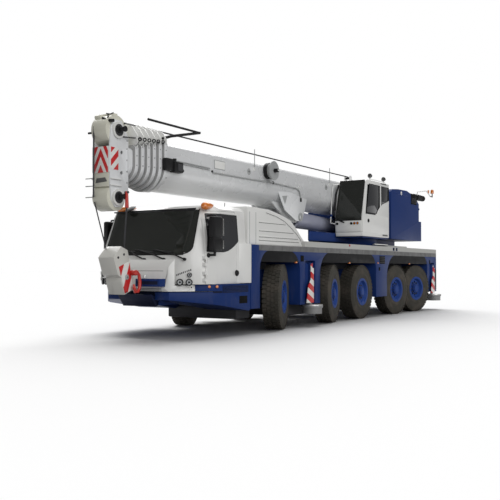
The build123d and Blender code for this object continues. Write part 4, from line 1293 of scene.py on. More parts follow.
@dataclass
class Carrier(Assembly):
    """The road-going half: frame, decks, outriggers and engine housing."""

    outriggers: tuple[Outrigger, ...] = (
        Outrigger("front", -1.20, POST_STRIPES, 0.055), Outrigger("rear", -9.48, REAR_STRIPES, 0.01),
    )
    cover_y: float = 1.44
    cover_inside: float = 1.4235
    cover_top: float = 1.42
    cover_drop: float = 0.035
    jack_y: float = 1.42
    pad_radius: float = 0.24
    pad_rim: Pair = (0.445, 0.478)
    housing_back: float = 0.17
    housing_lift: float = 0.09
    louvre_y: float = 1.299
    louvre_front: float = 0.88
    louvre_heights: tuple[float, ...] = (2.205, 2.036, 1.915, 1.845)
    louvre_curve: tuple[Pair, ...] = (
        (0.60, 2.405), (0.18, 2.352), (-0.173, 2.267), (-0.465, 2.139), (-0.689, 2.022), (-0.88, 1.90),
        (-0.94, 1.80),
    )

    def build(self) -> None:
        """Round the forms, finish them and add the fittings."""
        self.softened("chassis_frame", "carrier", BLUE, 0.01)
        self.softened("deck_plates", "carrier", DECK, 0.006)
        housing = self.softened("engine_housing", "carrier", WHITE, 0.03)
        reshape(housing, self.housing_form)
        self.coat("engine_block", CAST)
        for outrigger in self.outriggers:
            for side_name, side in SIDES:
                self.outrigger(outrigger, side_name, side)
        self.side_details()
        self.stowage()
        self.drive_train()
        self.louvres()

    def housing_form(self, x: float, y: float, z: float) -> Point:
        """The engine housing's roof raised and its rear pulled back."""
        rear = min(1.0, max(0.0, 1.3 - x))
        roof = min(1.0, max(0.0, (z - 1.75) / 0.4))
        return x - self.housing_back * rear, y, z + self.housing_lift * roof

    def outrigger(self, outrigger: Outrigger, side_name: str, side: int) -> None:
        """One outrigger's beam with its striped cover, the apron behind it and the jack's foot.

        Args:
            outrigger: The pair that it belongs to.
            side_name: Left or right.
            side: 1 on the left, -1 on the right.
        """
        x, end = outrigger.x, f"{outrigger.position}_{side_name}"

        def shifted(along: float, y: float, z: float) -> Point:
            """The cover plate moved forward, with its top lowered."""
            cover = abs(y) > self.cover_inside
            return along + outrigger.shift * cover, y, z - self.cover_drop * (cover and z > 1.3)

        cover = Zone(
            (x - 0.3, side * self.cover_y - 0.02, 0.5), (x + 0.3, side * self.cover_y + 0.02, self.cover_top),
            outrigger.stripes,
        )
        beam = self.softened(f"outrigger_beam_{end}", f"outrigger_beam_{end}", BLUE, 0.004, [cover])
        reshape(beam, shifted)
        apron = BENCH.block(
            f"outrigger_{end}_apron", (x - 0.17, side * 1.345, 0.56), (x + 0.2, side * 1.36, 1.38)
        )
        self.seat(dress(apron, BLUE), f"outrigger_beam_{end}", BLUE)
        self.softened(f"jack_foot_{end}", f"jack_foot_{end}", FOOT_STEEL, 0.006)
        foot, top = ((x, side * self.jack_y, z) for z in self.pad_rim)
        rim = BENCH.rod(f"jack_rim_{end}", foot, top, self.pad_radius, sides=48, edge=0.004)
        self.seat(dress(rim, BRIGHT), f"jack_foot_{end}", BRIGHT)

    def side_details(self) -> None:
        """Markers, hatches, grilles and slots along both sides."""
        kit = Kit("carrier_side_details", "carrier", BLACK)
        for x, z in ((-0.546, 1.407), (-3.297, 1.412), (-5.113, 1.42), (-7.492, 1.412)):
            kit.block((x - 0.035, 1.34, z - 0.017), (x + 0.035, 1.386, z + 0.017), AMBER, 0.008)
        hatches = [
            (-0.90, -0.74, 1.425, 1.56), (-5.605, -5.219, 1.396, 1.607), (-5.27, -5.16, 1.215, 1.31),
            (-9.34, -9.24, 1.42, 1.53), (-6.30, -6.20, 1.775, 1.84), (-6.53, -6.43, 1.775, 1.84),
        ]
        # The hatches are near-black as painted shade in their openings, with frames round them.
        for rear, front, low, high in hatches:
            kit.block((rear, 1.36, low), (front, 1.379, high), HOLE_SHADE_BLACK)
            kit.block((rear - 0.012, 1.36, low - 0.012), (front + 0.012, 1.3765, high + 0.012), BLUE, 0.002)
        for index in range(4):
            slat = 1.42 + 0.05 * index
            kit.block((-5.58, 1.37, slat), (-5.24, 1.383, slat + 0.018), CAST, 0.002)
        # Behind the slats the grille is dark navy as painted shade.
        grille = (0.825, 0.962)
        kit.block((1.378, 1.34, grille[0]), (2.27, 1.364, grille[1]), NAVY_SHADE)
        kit.plate(View.LEVEL, grille, [(2.27, 1.33), (2.28, 1.364), (2.45, 1.272), (2.44, 1.24)], NAVY_SHADE)
        for index in range(5):
            slat = 0.842 + 0.025 * index
            kit.block((1.39, 1.355, slat), (2.26, 1.37, slat + 0.008), BLUE, 0.002)
        # The step hole under the cab is a near-black block as painted shade.
        kit.block((1.415, 1.35, 0.61), (1.702, 1.364, 0.754), HOLE_SHADE_BLACK)
        kit.block((-9.915, 1.30, 0.62), (-9.80, 1.381, 1.24), CAST, 0.004)
        for back in (0.0, 0.105):
            x, y, z = 2.505 - back, 1.22 + 0.931 * back, 0.945
            kit.rod((x, y, z), (x + 0.018, y + 0.02, z), 0.026, AMBER)
        kit.block((-3.345, 1.33, 1.80), (-3.255, 1.378, 1.873), GREY)
        kit.rod((-3.30, 1.37, 1.838), (-3.30, 1.392, 1.838), 0.026, RED_LENS)
        for index in range(13):
            seam = 0.9 - 0.83 * index
            kit.block((seam - 0.004, 1.37, 1.65), (seam + 0.004, 1.3765, 1.745), CAST, 0.001)
        kit.twin()
        self.close(kit)

    def stowage(self) -> None:
        """The white lid and the grey step on the deck beside the operator's cab."""
        kit = Kit("deck_stowage", "carrier", WHITE)
        lid = [(-5.06, 1.30), (-6.0, 1.31), (-6.0, 1.12), (-5.3, 1.14)]
        kit.plate(View.LEVEL, (1.912, 1.935), lid, WHITE, 0.004)
        kit.block((-6.62, 1.05, 1.873), (-5.92, 1.345, 1.905), GREY)
        self.close(kit)

    def drive_train(self) -> None:
        """The dark masses under the decks: axle housings, transfer case and the frame's belly, partly real
        and partly painted shade.
        """
        kit = Kit("drive_train_and_shade_masses", "carrier", CAST)
        # Painted shade: these dark blocks reach past the real drive train to fill the dark under the decks
        # and beside the rear jack foot.
        for low, high in (
            ((-1.70, -1.30, 0.24), (-0.74, 1.02, 0.62)), ((0.74, -0.70, 0.27), (1.25, 1.0, 0.60)),
            ((-9.17, 0.9, 0.56), (-8.98, 1.25, 1.0)), ((-9.4, -0.55, 1.25), (0.9, 0.55, 1.632)),
        ):
            kit.block(low, high, CAST, 0.03)
        self.close(kit)

    def louvre_rear(self, z: float) -> float:
        """Where the pressed curve behind the louvres is at a height."""
        return next(
            x0 + (x1 - x0) * (z - z0) / (z1 - z0)
            for (x0, z0), (x1, z1) in zip(self.louvre_curve, self.louvre_curve[1:]) if z1 <= z <= z0
        )

    def louvres(self) -> None:
        """Long pressed louvres on both sides of the engine housing."""
        kit = Kit("engine_housing_louvres", "carrier", WHITE)
        kit.pipe([(x, self.louvre_y, z) for x, z in self.louvre_curve], 0.008, SHADE)
        kit.pipe([(x + 0.014, self.louvre_y - 0.002, z - 0.012) for x, z in self.louvre_curve], 0.011)
        for z in self.louvre_heights:
            rear = self.louvre_rear(z) + 0.10
            lip = [(1.29, z + 0.03), (1.3005, z + 0.03), (1.311, z), (1.3005, z - 0.004), (1.29, z - 0.004)]
            kit.plate(View.FRONT, (rear, self.louvre_front), lip, WHITE, 0.002)
            kit.pipe([(rear, 1.2985, z - 0.006), (self.louvre_front, 1.2985, z - 0.006)], 0.006, SHADE)
        for x in (1.0, 1.235):
            kit.block((x - 0.006, 1.29, 1.77), (x + 0.006, 1.304, 2.395), GREY, 0.002)
        kit.twin()
        self.close(kit)


@dataclass
class DriverCab(Assembly):
    """The driver's cab with its doors, glass, mirrors and bumper."""

    corner: tuple[Pair, ...] = (
        (2.40, 1.29), (2.497, 1.28), (2.61, 1.243), (2.713, 1.179), (2.803, 1.091), (2.875, 0.984),
        (2.926, 0.862), (2.951, 0.753), (2.96, 0.64),
    )
    front: float = 2.90
    slope_foot: float = 1.52
    slope: float = 0.4545
    waist: float = 1.80
    tumble: float = 0.0862
    screen_rise: Pair = (1.535, 2.355)
    screen_corner: float = 0.16
    door_glass_rise: Pair = (1.585, 2.285)
    door_shift: Pair = (0.004, 0.005)
    right_mirror_shift: Pair = (0.2, 0.09)
    mirror_y: float = 1.405
    tray_root: float = 2.94
    tray_share: float = 0.21
    tow_box_widening: float = 0.13
    beacon_drop: tuple[Pair, ...] = (
        (0.0, 0.0), (0.035, 0.012), (0.058, 0.045), (0.066, 0.09), (0.062, 0.15), (0.042, 0.24),
        (0.018, 0.34), (0.0, 0.40),
    )

    def front_x(self, y: float, z: float) -> float:
        """How far forward the cab's front reaches beside a place across it, at a height."""
        reach = self.corner[-1][0]
        for (x0, y0), (x1, y1) in zip(self.corner, self.corner[1:]):
            if y1 <= abs(y) <= y0:
                reach = x1 + (x0 - x1) * (abs(y) - y1) / (y0 - y1)
        return min(self.front, reach) - self.slope * (z - self.slope_foot)

    def side_y(self, x: float, z: float) -> float:
        """How wide the cab's side is at a place along it, at a height."""
        along = x + self.slope * max(0.0, z - self.slope_foot)
        wide = self.corner[0][1]
        for (x0, y0), (x1, y1) in zip(self.corner, self.corner[1:]):
            if x0 <= along <= x1:
                wide = y0 + (y1 - y0) * (along - x0) / (x1 - x0)
        return min(wide, self.corner[0][1] - self.tumble * max(0.0, z - self.waist))

    def windscreen(self, kit: Kit) -> None:
        """The tinted windscreen that wraps round the cab's corners, with its rubber."""
        low, high = self.screen_rise
        corner = self.screen_corner

        def edges(z: float) -> Pair:
            """The screen's right and left edge at a height, with its lower corners rounded."""
            gap = min(z - low, corner)
            half = 1.06 - (corner - math.sqrt(corner ** 2 - (corner - gap) ** 2)) - 0.08 * (z - low)
            return -half + 0.10 * (high - z) / (high - low), half

        def place(y: float, z: float) -> Point:
            """A place on the cab's curved front."""
            return self.front_x(y, z) + 0.009, y, z

        kit.add(curved_sheet("windscreen_sheet", self.screen_rise, edges, place, 0.005), TINTED)
        rim_pipes(kit, edges, place, [low + 0.03 * index for index in range(29)], (low, high), 24, 0.009)

    def wipers(self, kit: Kit) -> None:
        """Three wipers parked along the foot of the windscreen."""
        for pivot_y, knee, tip in (
            (0.06, (-0.18, 1.530), (-0.31, 1.600)),
            (0.52, (0.235, 1.542), (-0.13, 1.622)),
            (0.97, (0.77, 1.522), (0.30, 1.617)),
        ):
            reach = self.front_x(pivot_y, 1.445) + 0.03
            kit.rod((reach - 0.05, pivot_y, 1.44), (reach, pivot_y, 1.447), 0.026, BLACK)
            arm = [(reach - 0.004, pivot_y, 1.447)]
            arm += [(self.front_x(y, z) + 0.034, y, z) for y, z in (knee, tip)]
            kit.pipe(arm, 0.013, BLACK)
            blade = []
            for run in (-0.08, 0.12, 0.32, 0.52):
                y = tip[0] + run
                blade.append((self.front_x(y, tip[1]) + 0.024, y, tip[1] - 0.10 * run - 0.01))
            kit.pipe(blade, 0.011, BLACK)

    def lamps(self, kit: Kit) -> None:
        """Head lamps, indicators and air slots on the bumper's cut corners."""
        for x, y, z, radius, normal in (
            (2.926, 0.875, 1.028, 0.057, (0.88, 0.47, 0)),
            (2.850, 1.023, 1.028, 0.057, (0.83, 0.56, 0)),
            (2.848, 1.030, 1.160, 0.040, (0.83, 0.56, 0)),
        ):
            kit.turned(ring(radius * 0.74, radius * 1.10, 0.032), (x, y, z), normal, BLACK)
            kit.turned(ring(radius * 0.64, radius * 0.76, 0.034), (x, y, z), normal, GREY)
            kit.turned(lens(radius * 0.66, 0.022), (x, y, z), normal, CLEAR)
            kit.turned(lens(radius * 0.40, 0.034), (x, y, z), normal, BLACK)
        kit.turned(lens(0.052, 0.004), (2.75, 1.0, 0.934), (0.6814, 0.7319, 0), WHITE)
        for index in range(9):
            share = index / 8
            x, y, z = 2.938 - 0.10 * share ** 1.3, 0.812 + 0.236 * share, 1.158 + 0.093 * share
            kit.pipe([(x - 0.002, y, z - 0.016), (x - 0.002, y, z + 0.016)], 0.009, BLACK)
        nose = [(2.70, 1.045), (2.48, 1.25), (2.28, 1.36), (2.28, 1.30), (2.46, 1.20), (2.68, 1.0)]
        outer = [(x + 0.006, y + 0.006) for x, y in nose[:3]]
        kit.plate(View.LEVEL, (0.862, 0.986), [*outer, *nose[3:]], BLUE, 0.003)

    def doors(self) -> None:
        """The two doors, each a rounded CAD node with its fittings."""
        for side_name, side in SIDES:
            mirrors = [Zone((2.3, side * 1.42 - 0.11, 1.48), (2.75, side * 1.42 + 0.11, 2.26), BLACK)]
            door = self.softened(f"door_{side_name}", f"door_{side_name}", WHITE, 0.012, mirrors)
            back, tuck = self.right_mirror_shift if side < 0 else (0.0, 0.0)
            forward, out = self.door_shift

            def shifted(x: float, y: float, z: float) -> Point:
                """The whole door moved a little out, and its mirrors back and in."""
                mirror = z > 1.48 and abs(y) > 1.30
                return x + forward - back * mirror, y + side * (out - tuck * mirror), z

            reshape(door, shifted)
            kit = Kit(f"door_{side_name}_fittings", f"door_{side_name}", BLACK)
            self.door_glass(kit, side)
            kit.turned(lens(0.058, 0.05), (1.70, side * 1.288, 1.19), (0, side, 0))
            self.mirrors(kit, side, back, tuck)
            self.close(kit)

    def door_glass(self, kit: Kit, side: int) -> None:
        """A door's bonded glass with its rubber.

        Args:
            kit: The door's kit.
            side: 1 on the left, -1 on the right.
        """
        low, high = self.door_glass_rise

        def edges(z: float) -> Pair:
            """The pane's rear and front edge at a height, with its lower rear corner swept."""
            lift = min(1.0, max(0.0, (z - low) / 0.21))
            return 2.14 - 0.49 * lift ** 0.6, 2.60 - 0.17 * (z - low) - 0.02 * lift

        def place(x: float, z: float) -> Point:
            """A place on the cab's side."""
            return x, side * (self.side_y(x, z) + 0.006), z

        kit.add(curved_sheet("door_glass", self.door_glass_rise, edges, place, 0.004, 30, 24), SIDE_GLASS)
        rim_pipes(kit, edges, place, [low + 0.025 * index for index in range(29)], (low, high), 14, 0.008)

    def mirrors(self, kit: Kit, side: int, back: float, tuck: float) -> None:
        """The two mirrors of a door, one over the other, on their arms.

        Args:
            kit: The door's kit.
            side: 1 on the left, -1 on the right.
            back: How far they are moved back.
            tuck: How far they are moved in.
        """
        shell = [(2.375, 1.345), (2.39, 1.44), (2.43, 1.468), (2.66, 1.462), (2.695, 1.43), (2.70, 1.345)]
        outline = [(x - back, side * (y - tuck)) for x, y in shell]
        middle = side * (self.mirror_y - tuck)
        for foot, top in ((1.605, 1.815), (1.845, 2.215)):
            kit.plate(View.LEVEL, (foot, top), outline, BLACK, 0.022)
            low = (2.369 - back, middle - 0.045, foot + 0.03)
            high = (2.377 - back, middle + 0.045, top - 0.03)
            kit.block(low, high, BRIGHT, 0.002)
        kit.turned(lens(0.045, 0.05), (2.575, side * 1.235, 1.515), (0, side, 0))
        upper = [(2.53, 1.19, 2.238), (2.545, 1.30, 2.245), (2.54, 1.385, 2.24), (2.53, 1.40, 2.20)]
        lower = [(2.575, 1.26, 1.515), (2.572, 1.36, 1.52), (2.57, 1.40, 1.56), (2.57, 1.40, 1.62)]
        for arm in (upper, lower):
            kit.pipe([(x - back, side * (y - tuck), z) for x, y, z in arm], 0.017)

    def roof(self, kit: Kit) -> None:
        """Beacons, antenna and the front mirror at the roof's edge."""
        for width, place, axis in (
            (1.12, (2.60, 1.13, 2.418), (-1, 0, 0.06)), (0.9, (2.50, -0.99, 2.43), (-0.2, 1, 0.06)),
        ):
            drop = [(radius * width, rise * 1.1) for radius, rise in self.beacon_drop]
            kit.turned(drop, place, axis, AMBER)
        kit.block((2.27, 1.085, 2.36), (2.53, 1.155, 2.405), WHITE, 0.01)
        kit.rod((1.55, 0.92, 2.44), (1.55, 0.92, 2.462), 0.03, BLACK)
        kit.pipe([(1.55, 0.92, 2.46), (1.545, 0.92, 2.56)], 0.006, BLACK)
        kit.rod((2.0, 0.30, 2.44), (2.0, 0.30, 2.47), 0.035, WHITE)
        kit.pipe([(2.44, -0.66, 2.44), (2.50, -0.66, 2.45), (2.55, -0.63, 2.44)], 0.012, BLACK)
        dish = [(0.0, -0.03), (0.07, -0.022), (0.115, 0.0), (0.07, 0.022), (0.0, 0.03)]
        kit.turned(dish, (2.55, -0.61, 2.437), (0.5, -0.1, 0.9), BLACK)
        holder = [(2.42, -1.02), (2.53, -1.06), (2.56, -0.72), (2.44, -0.70)]
        kit.plate(View.LEVEL, (2.366, 2.392), holder, BLACK, 0.01)

    def bumper_form(self, x: float, y: float, z: float) -> Point:
        """The bumper's tray pushed back and its tow box widened."""
        tray = x > self.tray_root and z < 0.9 and abs(y) < 0.45
        tow_box = x > 2.97 and 0.4 < y < 0.56 and 0.94 < z < 1.10
        return (
            self.tray_root + (x - self.tray_root) * self.tray_share if tray else x,
            y + self.tow_box_widening * tow_box, z,
        )

    def build(self) -> None:
        """Round the forms, finish them and add the fittings."""
        inside = [
            Zone((1.42, -0.95, 1.04), (2.78, 0.95, 2.38), BLACK),
            Zone((1.37, -1.25, 1.0), (2.91, 1.25, 2.40), BLACK, inward=True),
        ]
        self.softened("driver_cab", "carrier", WHITE, 0.03, inside)
        self.coat("driver_cab_glass", SMOKED)
        # The tow box is blue. The tray under the bumper is dark navy as painted shade.
        blue = [
            Zone((3.10, 0.1, 0.94), (3.26, 0.54, 1.10), BLUE),
            Zone((2.93, -0.4, 0.5), (4.05, 0.4, 0.885), NAVY_SHADE),
        ]
        bumper = self.softened("front_bumper", "carrier", WHITE, 0.02, blue)
        reshape(bumper, self.bumper_form)
        kit = Kit("driver_cab_fittings", "carrier", BLACK)
        pillar = [(1.288, 1.379), (1.36, 1.381), (1.46, 1.345), (1.60, 1.292), (1.60, 1.20), (1.288, 1.20)]
        kit.plate(View.LEVEL, (0.995, 1.765), pillar, WHITE, 0.012)
        self.lamps(kit)
        kit.twin()
        self.windscreen(kit)
        self.wipers(kit)
        self.roof(kit)
        kit.block((3.058, -0.60, 1.237), (3.069, 0.60, 1.247), WHITE, 0.003)
        kit.block((3.055, -0.60, 1.229), (3.067, 0.60, 1.236), SHADE, 0.001)
        kit.block((3.05, 0.50, 0.945), (3.070, 0.66, 1.087), BLUE, 0.004)
        # A dark navy slot across the tow box as painted shade.
        kit.block((3.245, 0.15, 0.99), (3.256, 0.62, 1.05), NAVY_SHADE, 0.002)
        # A grey strip along the bumper's foot as painted shade on its curved-under lower edge.
        kit.block((3.05, -0.58, 0.862), (3.096, 0.58, 0.922), GREY, 0.012)
        kit.rod((3.15, 0.24, 1.085), (3.15, 0.24, 1.15), 0.02, BRIGHT)
        kit.rod((3.15, 0.24, 1.14), (3.15, 0.24, 1.155), 0.034, BRIGHT)
        self.close(kit)
        self.doors()


@dataclass
class Upper(Assembly):
    """The slewing half: turntable, operator's cab, counterweight and winch."""

    cab_front: tuple[Pair, ...] = ((-4.30, 2.2), (-4.28, 2.6), (-4.48, 3.54))
    screen_rise: Pair = (2.53, 3.575)
    window_y: float = 1.307
    corner_x: float = -4.75
    block_rear: float = -8.55
    block_share: float = 0.45
    block_lift: float = 0.05
    drum_place: Point = (-8.82, 0.0, 3.25)
    rope_turns: int = 52
    rope_lay: float = 0.0235
    beacon_place: Point = (-9.855, 1.28, 3.66)

    def front_x(self, z: float) -> float:
        """How far forward the operator's cab reaches at a height."""
        (x0, z0), (x1, z1) = self.cab_front[:2] if z < self.cab_front[1][1] else self.cab_front[1:]
        return x0 + (x1 - x0) * (z - z0) / (z1 - z0)

    def screen(self, kit: Kit) -> None:
        """The operator's windscreen with its rubber."""
        low, high = self.screen_rise

        def edges(z: float) -> Pair:
            """The screen's right and left edge at a height."""
            share = (z - low) / (self.cab_front[-1][1] - low)
            return 0.535 + 0.05 * share, 1.255 + 0.02 * share

        def place(y: float, z: float) -> Point:
            """A place on the cab's front."""
            return self.front_x(z) + 0.008, y, z

        kit.add(curved_sheet("operator_windscreen", self.screen_rise, edges, place, 0.004, 12, 20), TINTED)
        corners = [place(edges(z)[end], z) for end, z in ((0, low), (0, high), (1, high), (1, low))]
        kit.pipe([*corners, corners[0]], 0.016, BLACK)

    def side_windows(self, kit: Kit) -> None:
        """The left side's stepped panel, its two windows and the post between them."""
        panel = [
            (-5.19, 2.66), (-5.19, 2.735), (-5.26, 2.805), (-5.43, 2.926), (-5.667, 3.033), (-6.09, 3.135),
            (-6.09, 2.66),
        ]
        kit.plate(View.SIDE, (1.285, 1.3035), panel, WHITE, 0.003)
        first = [(-4.52, 2.74), (-4.715, 3.50), (-5.42, 3.50), (-5.42, 2.935), (-5.26, 2.82), (-5.19, 2.74)]
        second = [(-5.53, 3.50), (-6.07, 3.50), (-6.07, 3.15), (-5.67, 3.045), (-5.53, 2.985)]
        for outline in (first, second):
            kit.plate(View.SIDE, (1.301, 1.3075), outline, SIDE_GLASS, 0.002)
            kit.pipe([(x, self.window_y, z) for x, z in [*outline, outline[0]]], 0.007, BLACK)
        kit.block((-5.535, 1.29, 2.93), (-5.42, 1.306, 3.51), WHITE, 0.004)

    def rails(self, kit: Kit) -> None:
        """The wiper, the grab rail and the hose at the cab's front, and the rail along its roof."""
        grab_rail = [
            (-4.45, 0.54, 3.49), (-4.26, 0.50, 3.47), (-4.24, 0.462, 3.36), (-4.24, 0.42, 2.665),
            (-4.24, 0.41, 2.47), (-4.26, 0.53, 2.44),
        ]
        roof_rail = [(-4.95, 1.2, 3.655), (-6.02, 1.2, 3.66), (-6.10, 1.2, 3.63), (-6.13, 1.2, 3.45)]
        for points, radius, finish in (
            ([(-4.255, 0.79, 2.475), (-4.262, 0.70, 2.505), (-4.265, 0.62, 2.545)], 0.018, BLACK),
            ([(-4.262, 0.60, 2.56), (-4.30, 0.61, 2.78)], 0.008, BLACK),
            (grab_rail, 0.014, WHITE),
            ([(-4.44, 0.555, 3.47), (-4.30, 0.53, 3.2), (-4.27, 0.515, 2.79)], 0.024, BLACK),
            (roof_rail, 0.012, WHITE),
        ):
            kit.pipe(points, radius, finish)
        kit.block((-4.27, 0.395, 2.635), (-4.215, 0.45, 2.70), BLUE, 0.006)

    def cab_fittings(self) -> None:
        """Windows, lamps, rails and skirts of the operator's cab."""
        kit = Kit("operator_cab_fittings", "superstructure", WHITE)
        self.screen(kit)
        kit.block((-4.33, 0.545, 2.23), (-4.274, 1.275, 2.525), WHITE, 0.012)
        kit.block((-4.36, 0.53, 2.112), (-4.285, 1.30, 2.205), WHITE, 0.02)
        kit.block((-6.10, 1.245, 2.112), (-4.30, 1.304, 2.205), WHITE, 0.02)
        kit.block((-5.97, 1.295, 2.155), (-5.62, 1.309, 2.195), SHADE, 0.003)
        self.side_windows(kit)
        kit.turned(lens(0.05, 0.03), (-4.646, 1.30, 2.526), LEFT, BLACK)
        for y, finish in ((0.985, BLACK), (1.072, AMBER), (1.16, AMBER), (0.585, BLACK)):
            lamp = (-4.278, y, 2.445)
            kit.turned(ring(0.026, 0.034, 0.014), lamp, FORWARD, BLACK)
            kit.turned(lens(0.027, 0.012), lamp, FORWARD, finish)
        self.rails(kit)
        for x in (-4.95, -5.90):
            kit.rod((x, 1.225, 3.60), (x, 1.225, 3.70), 0.014, WHITE)
            kit.rod((x - 0.05, 1.225, 3.735), (x + 0.02, 1.225, 3.735), 0.045, BLACK, tip=0.062)
            kit.turned(lens(0.050, 0.012), (x + 0.02, 1.225, 3.735), FORWARD, SHADE)
        kit.block((-5.92, 1.282, 3.560), (-5.50, 1.302, 3.588), BLACK, 0.003)
        self.close(kit)

    def rear_fittings(self) -> None:
        """Caps, grille, winch and beacon on the counterweight and behind it."""
        kit = Kit("counterweight_fittings", "superstructure", BLACK)
        cap = (-7.05, 1.295, 3.44)
        kit.turned(lens(0.06, 0.02), cap, LEFT, WHITE)
        kit.turned(ring(0.06, 0.074, 0.012), cap, LEFT, BLUE)
        kit.block((-7.62, 1.24, 3.39), (-6.46, 1.304, 3.41), BLUE, 0.004)
        for x in (-7.32, -7.50):
            kit.rod((x, 1.1, 3.50), (x, 1.1, 3.56), 0.022, BLUE)
        # Behind the grille's slats a near-black block as painted shade.
        kit.block((-8.343, 0.98, 3.175), (-7.845, 1.312, 3.505), HOLE_SHADE_BLACK, 0.03)
        kit.block((-8.66, 1.22, 3.05), (-8.53, 1.28, 3.11), BLUE, 0.008)
        for index in range(5):
            z = 3.22 + 0.034 * index
            kit.block((-8.30, 1.306, z), (-7.87, 1.318, z + 0.014), CAST, 0.002)
        self.winch(kit)
        self.beacon(kit)
        self.close(kit)

    def winch(self, kit: Kit) -> None:
        """The rope drum with the rope wound on it, its motor and the hydraulic motor beside it."""
        drum = [(0.0, -0.66), (0.245, -0.66), (0.245, -0.63), (0.19, -0.63)]
        for index in range(self.rope_turns):
            middle = -0.61 + self.rope_lay * index
            drum += [(0.192, middle - 0.010), (0.205, middle), (0.192, middle + 0.010)]
        drum += [(0.19, 0.63), (0.245, 0.63), (0.245, 0.66), (0.0, 0.66)]
        kit.turned(drum, self.drum_place, LEFT, CAST, 40)
        x, _, z = self.drum_place
        kit.rod((x, 0.7, z), (x, 1.14, z), 0.119, BLACK, edge=0.012)
        for y in (0.80, 0.88, 0.96):
            kit.rod((x, y, z), (x, y + 0.03, z), 0.128, CAST)
        # The hydraulic motor in the same near-black, as its own colour.
        kit.rod((-8.35, 1.20, 3.45), (-9.18, 1.20, 3.45), 0.088, HOLE_SHADE_BLACK, edge=0.012)
        for x in (-8.60, -8.72, -8.84):
            kit.rod((x, 1.20, 3.45), (x - 0.04, 1.20, 3.45), 0.094, CAST)

    def beacon(self, kit: Kit) -> None:
        """The beacon and the marker lamp on the bent rail behind the counterweight."""
        x, y, z = self.beacon_place
        rail = [(-8.46, y, 3.50), (-8.48, y, 3.60), (-9.298, y, 3.702), (-9.653, y, 3.56)]
        kit.pipe(rail, 0.014, WHITE)
        kit.pipe([rail[-1], (-9.86, y, 3.556)], 0.016, BLACK)
        kit.rod((x, y, z - 0.12), (x, y, z), 0.016, BLACK)
        dome = [(0.0, 0.13), (0.03, 0.125), (0.048, 0.10), (0.052, 0.03), (0.052, 0.0), (0.0, 0.0)]
        kit.turned(dome, self.beacon_place, UP, AMBER)
        kit.rod((-9.496, y, 3.64), (-9.496, y, 3.74), 0.025, AMBER)

    def turntable_form(self, x: float, y: float, z: float) -> Point:
        """The turntable's front right corner pulled back."""
        corner = y < 0 and z > 1.97 and x > -4.9
        return min(x, self.corner_x) if corner else x, y, z

    def weight_form(self, x: float, y: float, z: float) -> Point:
        """The counterweight's rear block shortened and its top raised towards the rear."""
        rear = self.block_rear
        lift = self.block_lift * (z > 3.3) * min(1.0, max(0.0, (-6.6 - x) / 0.6))
        return x if x > rear else rear + (x - rear) * self.block_share, y, z + lift

    def build(self) -> None:
        """Round the forms, finish them and add the fittings."""
        turntable = self.softened("turntable", "superstructure", BLUE, 0.008)
        reshape(turntable, self.turntable_form)
        weight = self.softened("counterweight", "superstructure", BLUE, 0.03)
        reshape(weight, self.weight_form)
        inside = [
            Zone((-5.7, 0.66, 2.24), (-4.9, 1.16, 3.4), BLACK),
            Zone((-6.06, 0.56, 2.24), (-4.32, 1.26, 3.56), BLACK, inward=True),
        ]
        self.softened("operator_cab", "superstructure", WHITE, 0.02, inside)
        self.coat("operator_cab_glass", SMOKED)
        self.cab_fittings()
        self.rear_fittings()


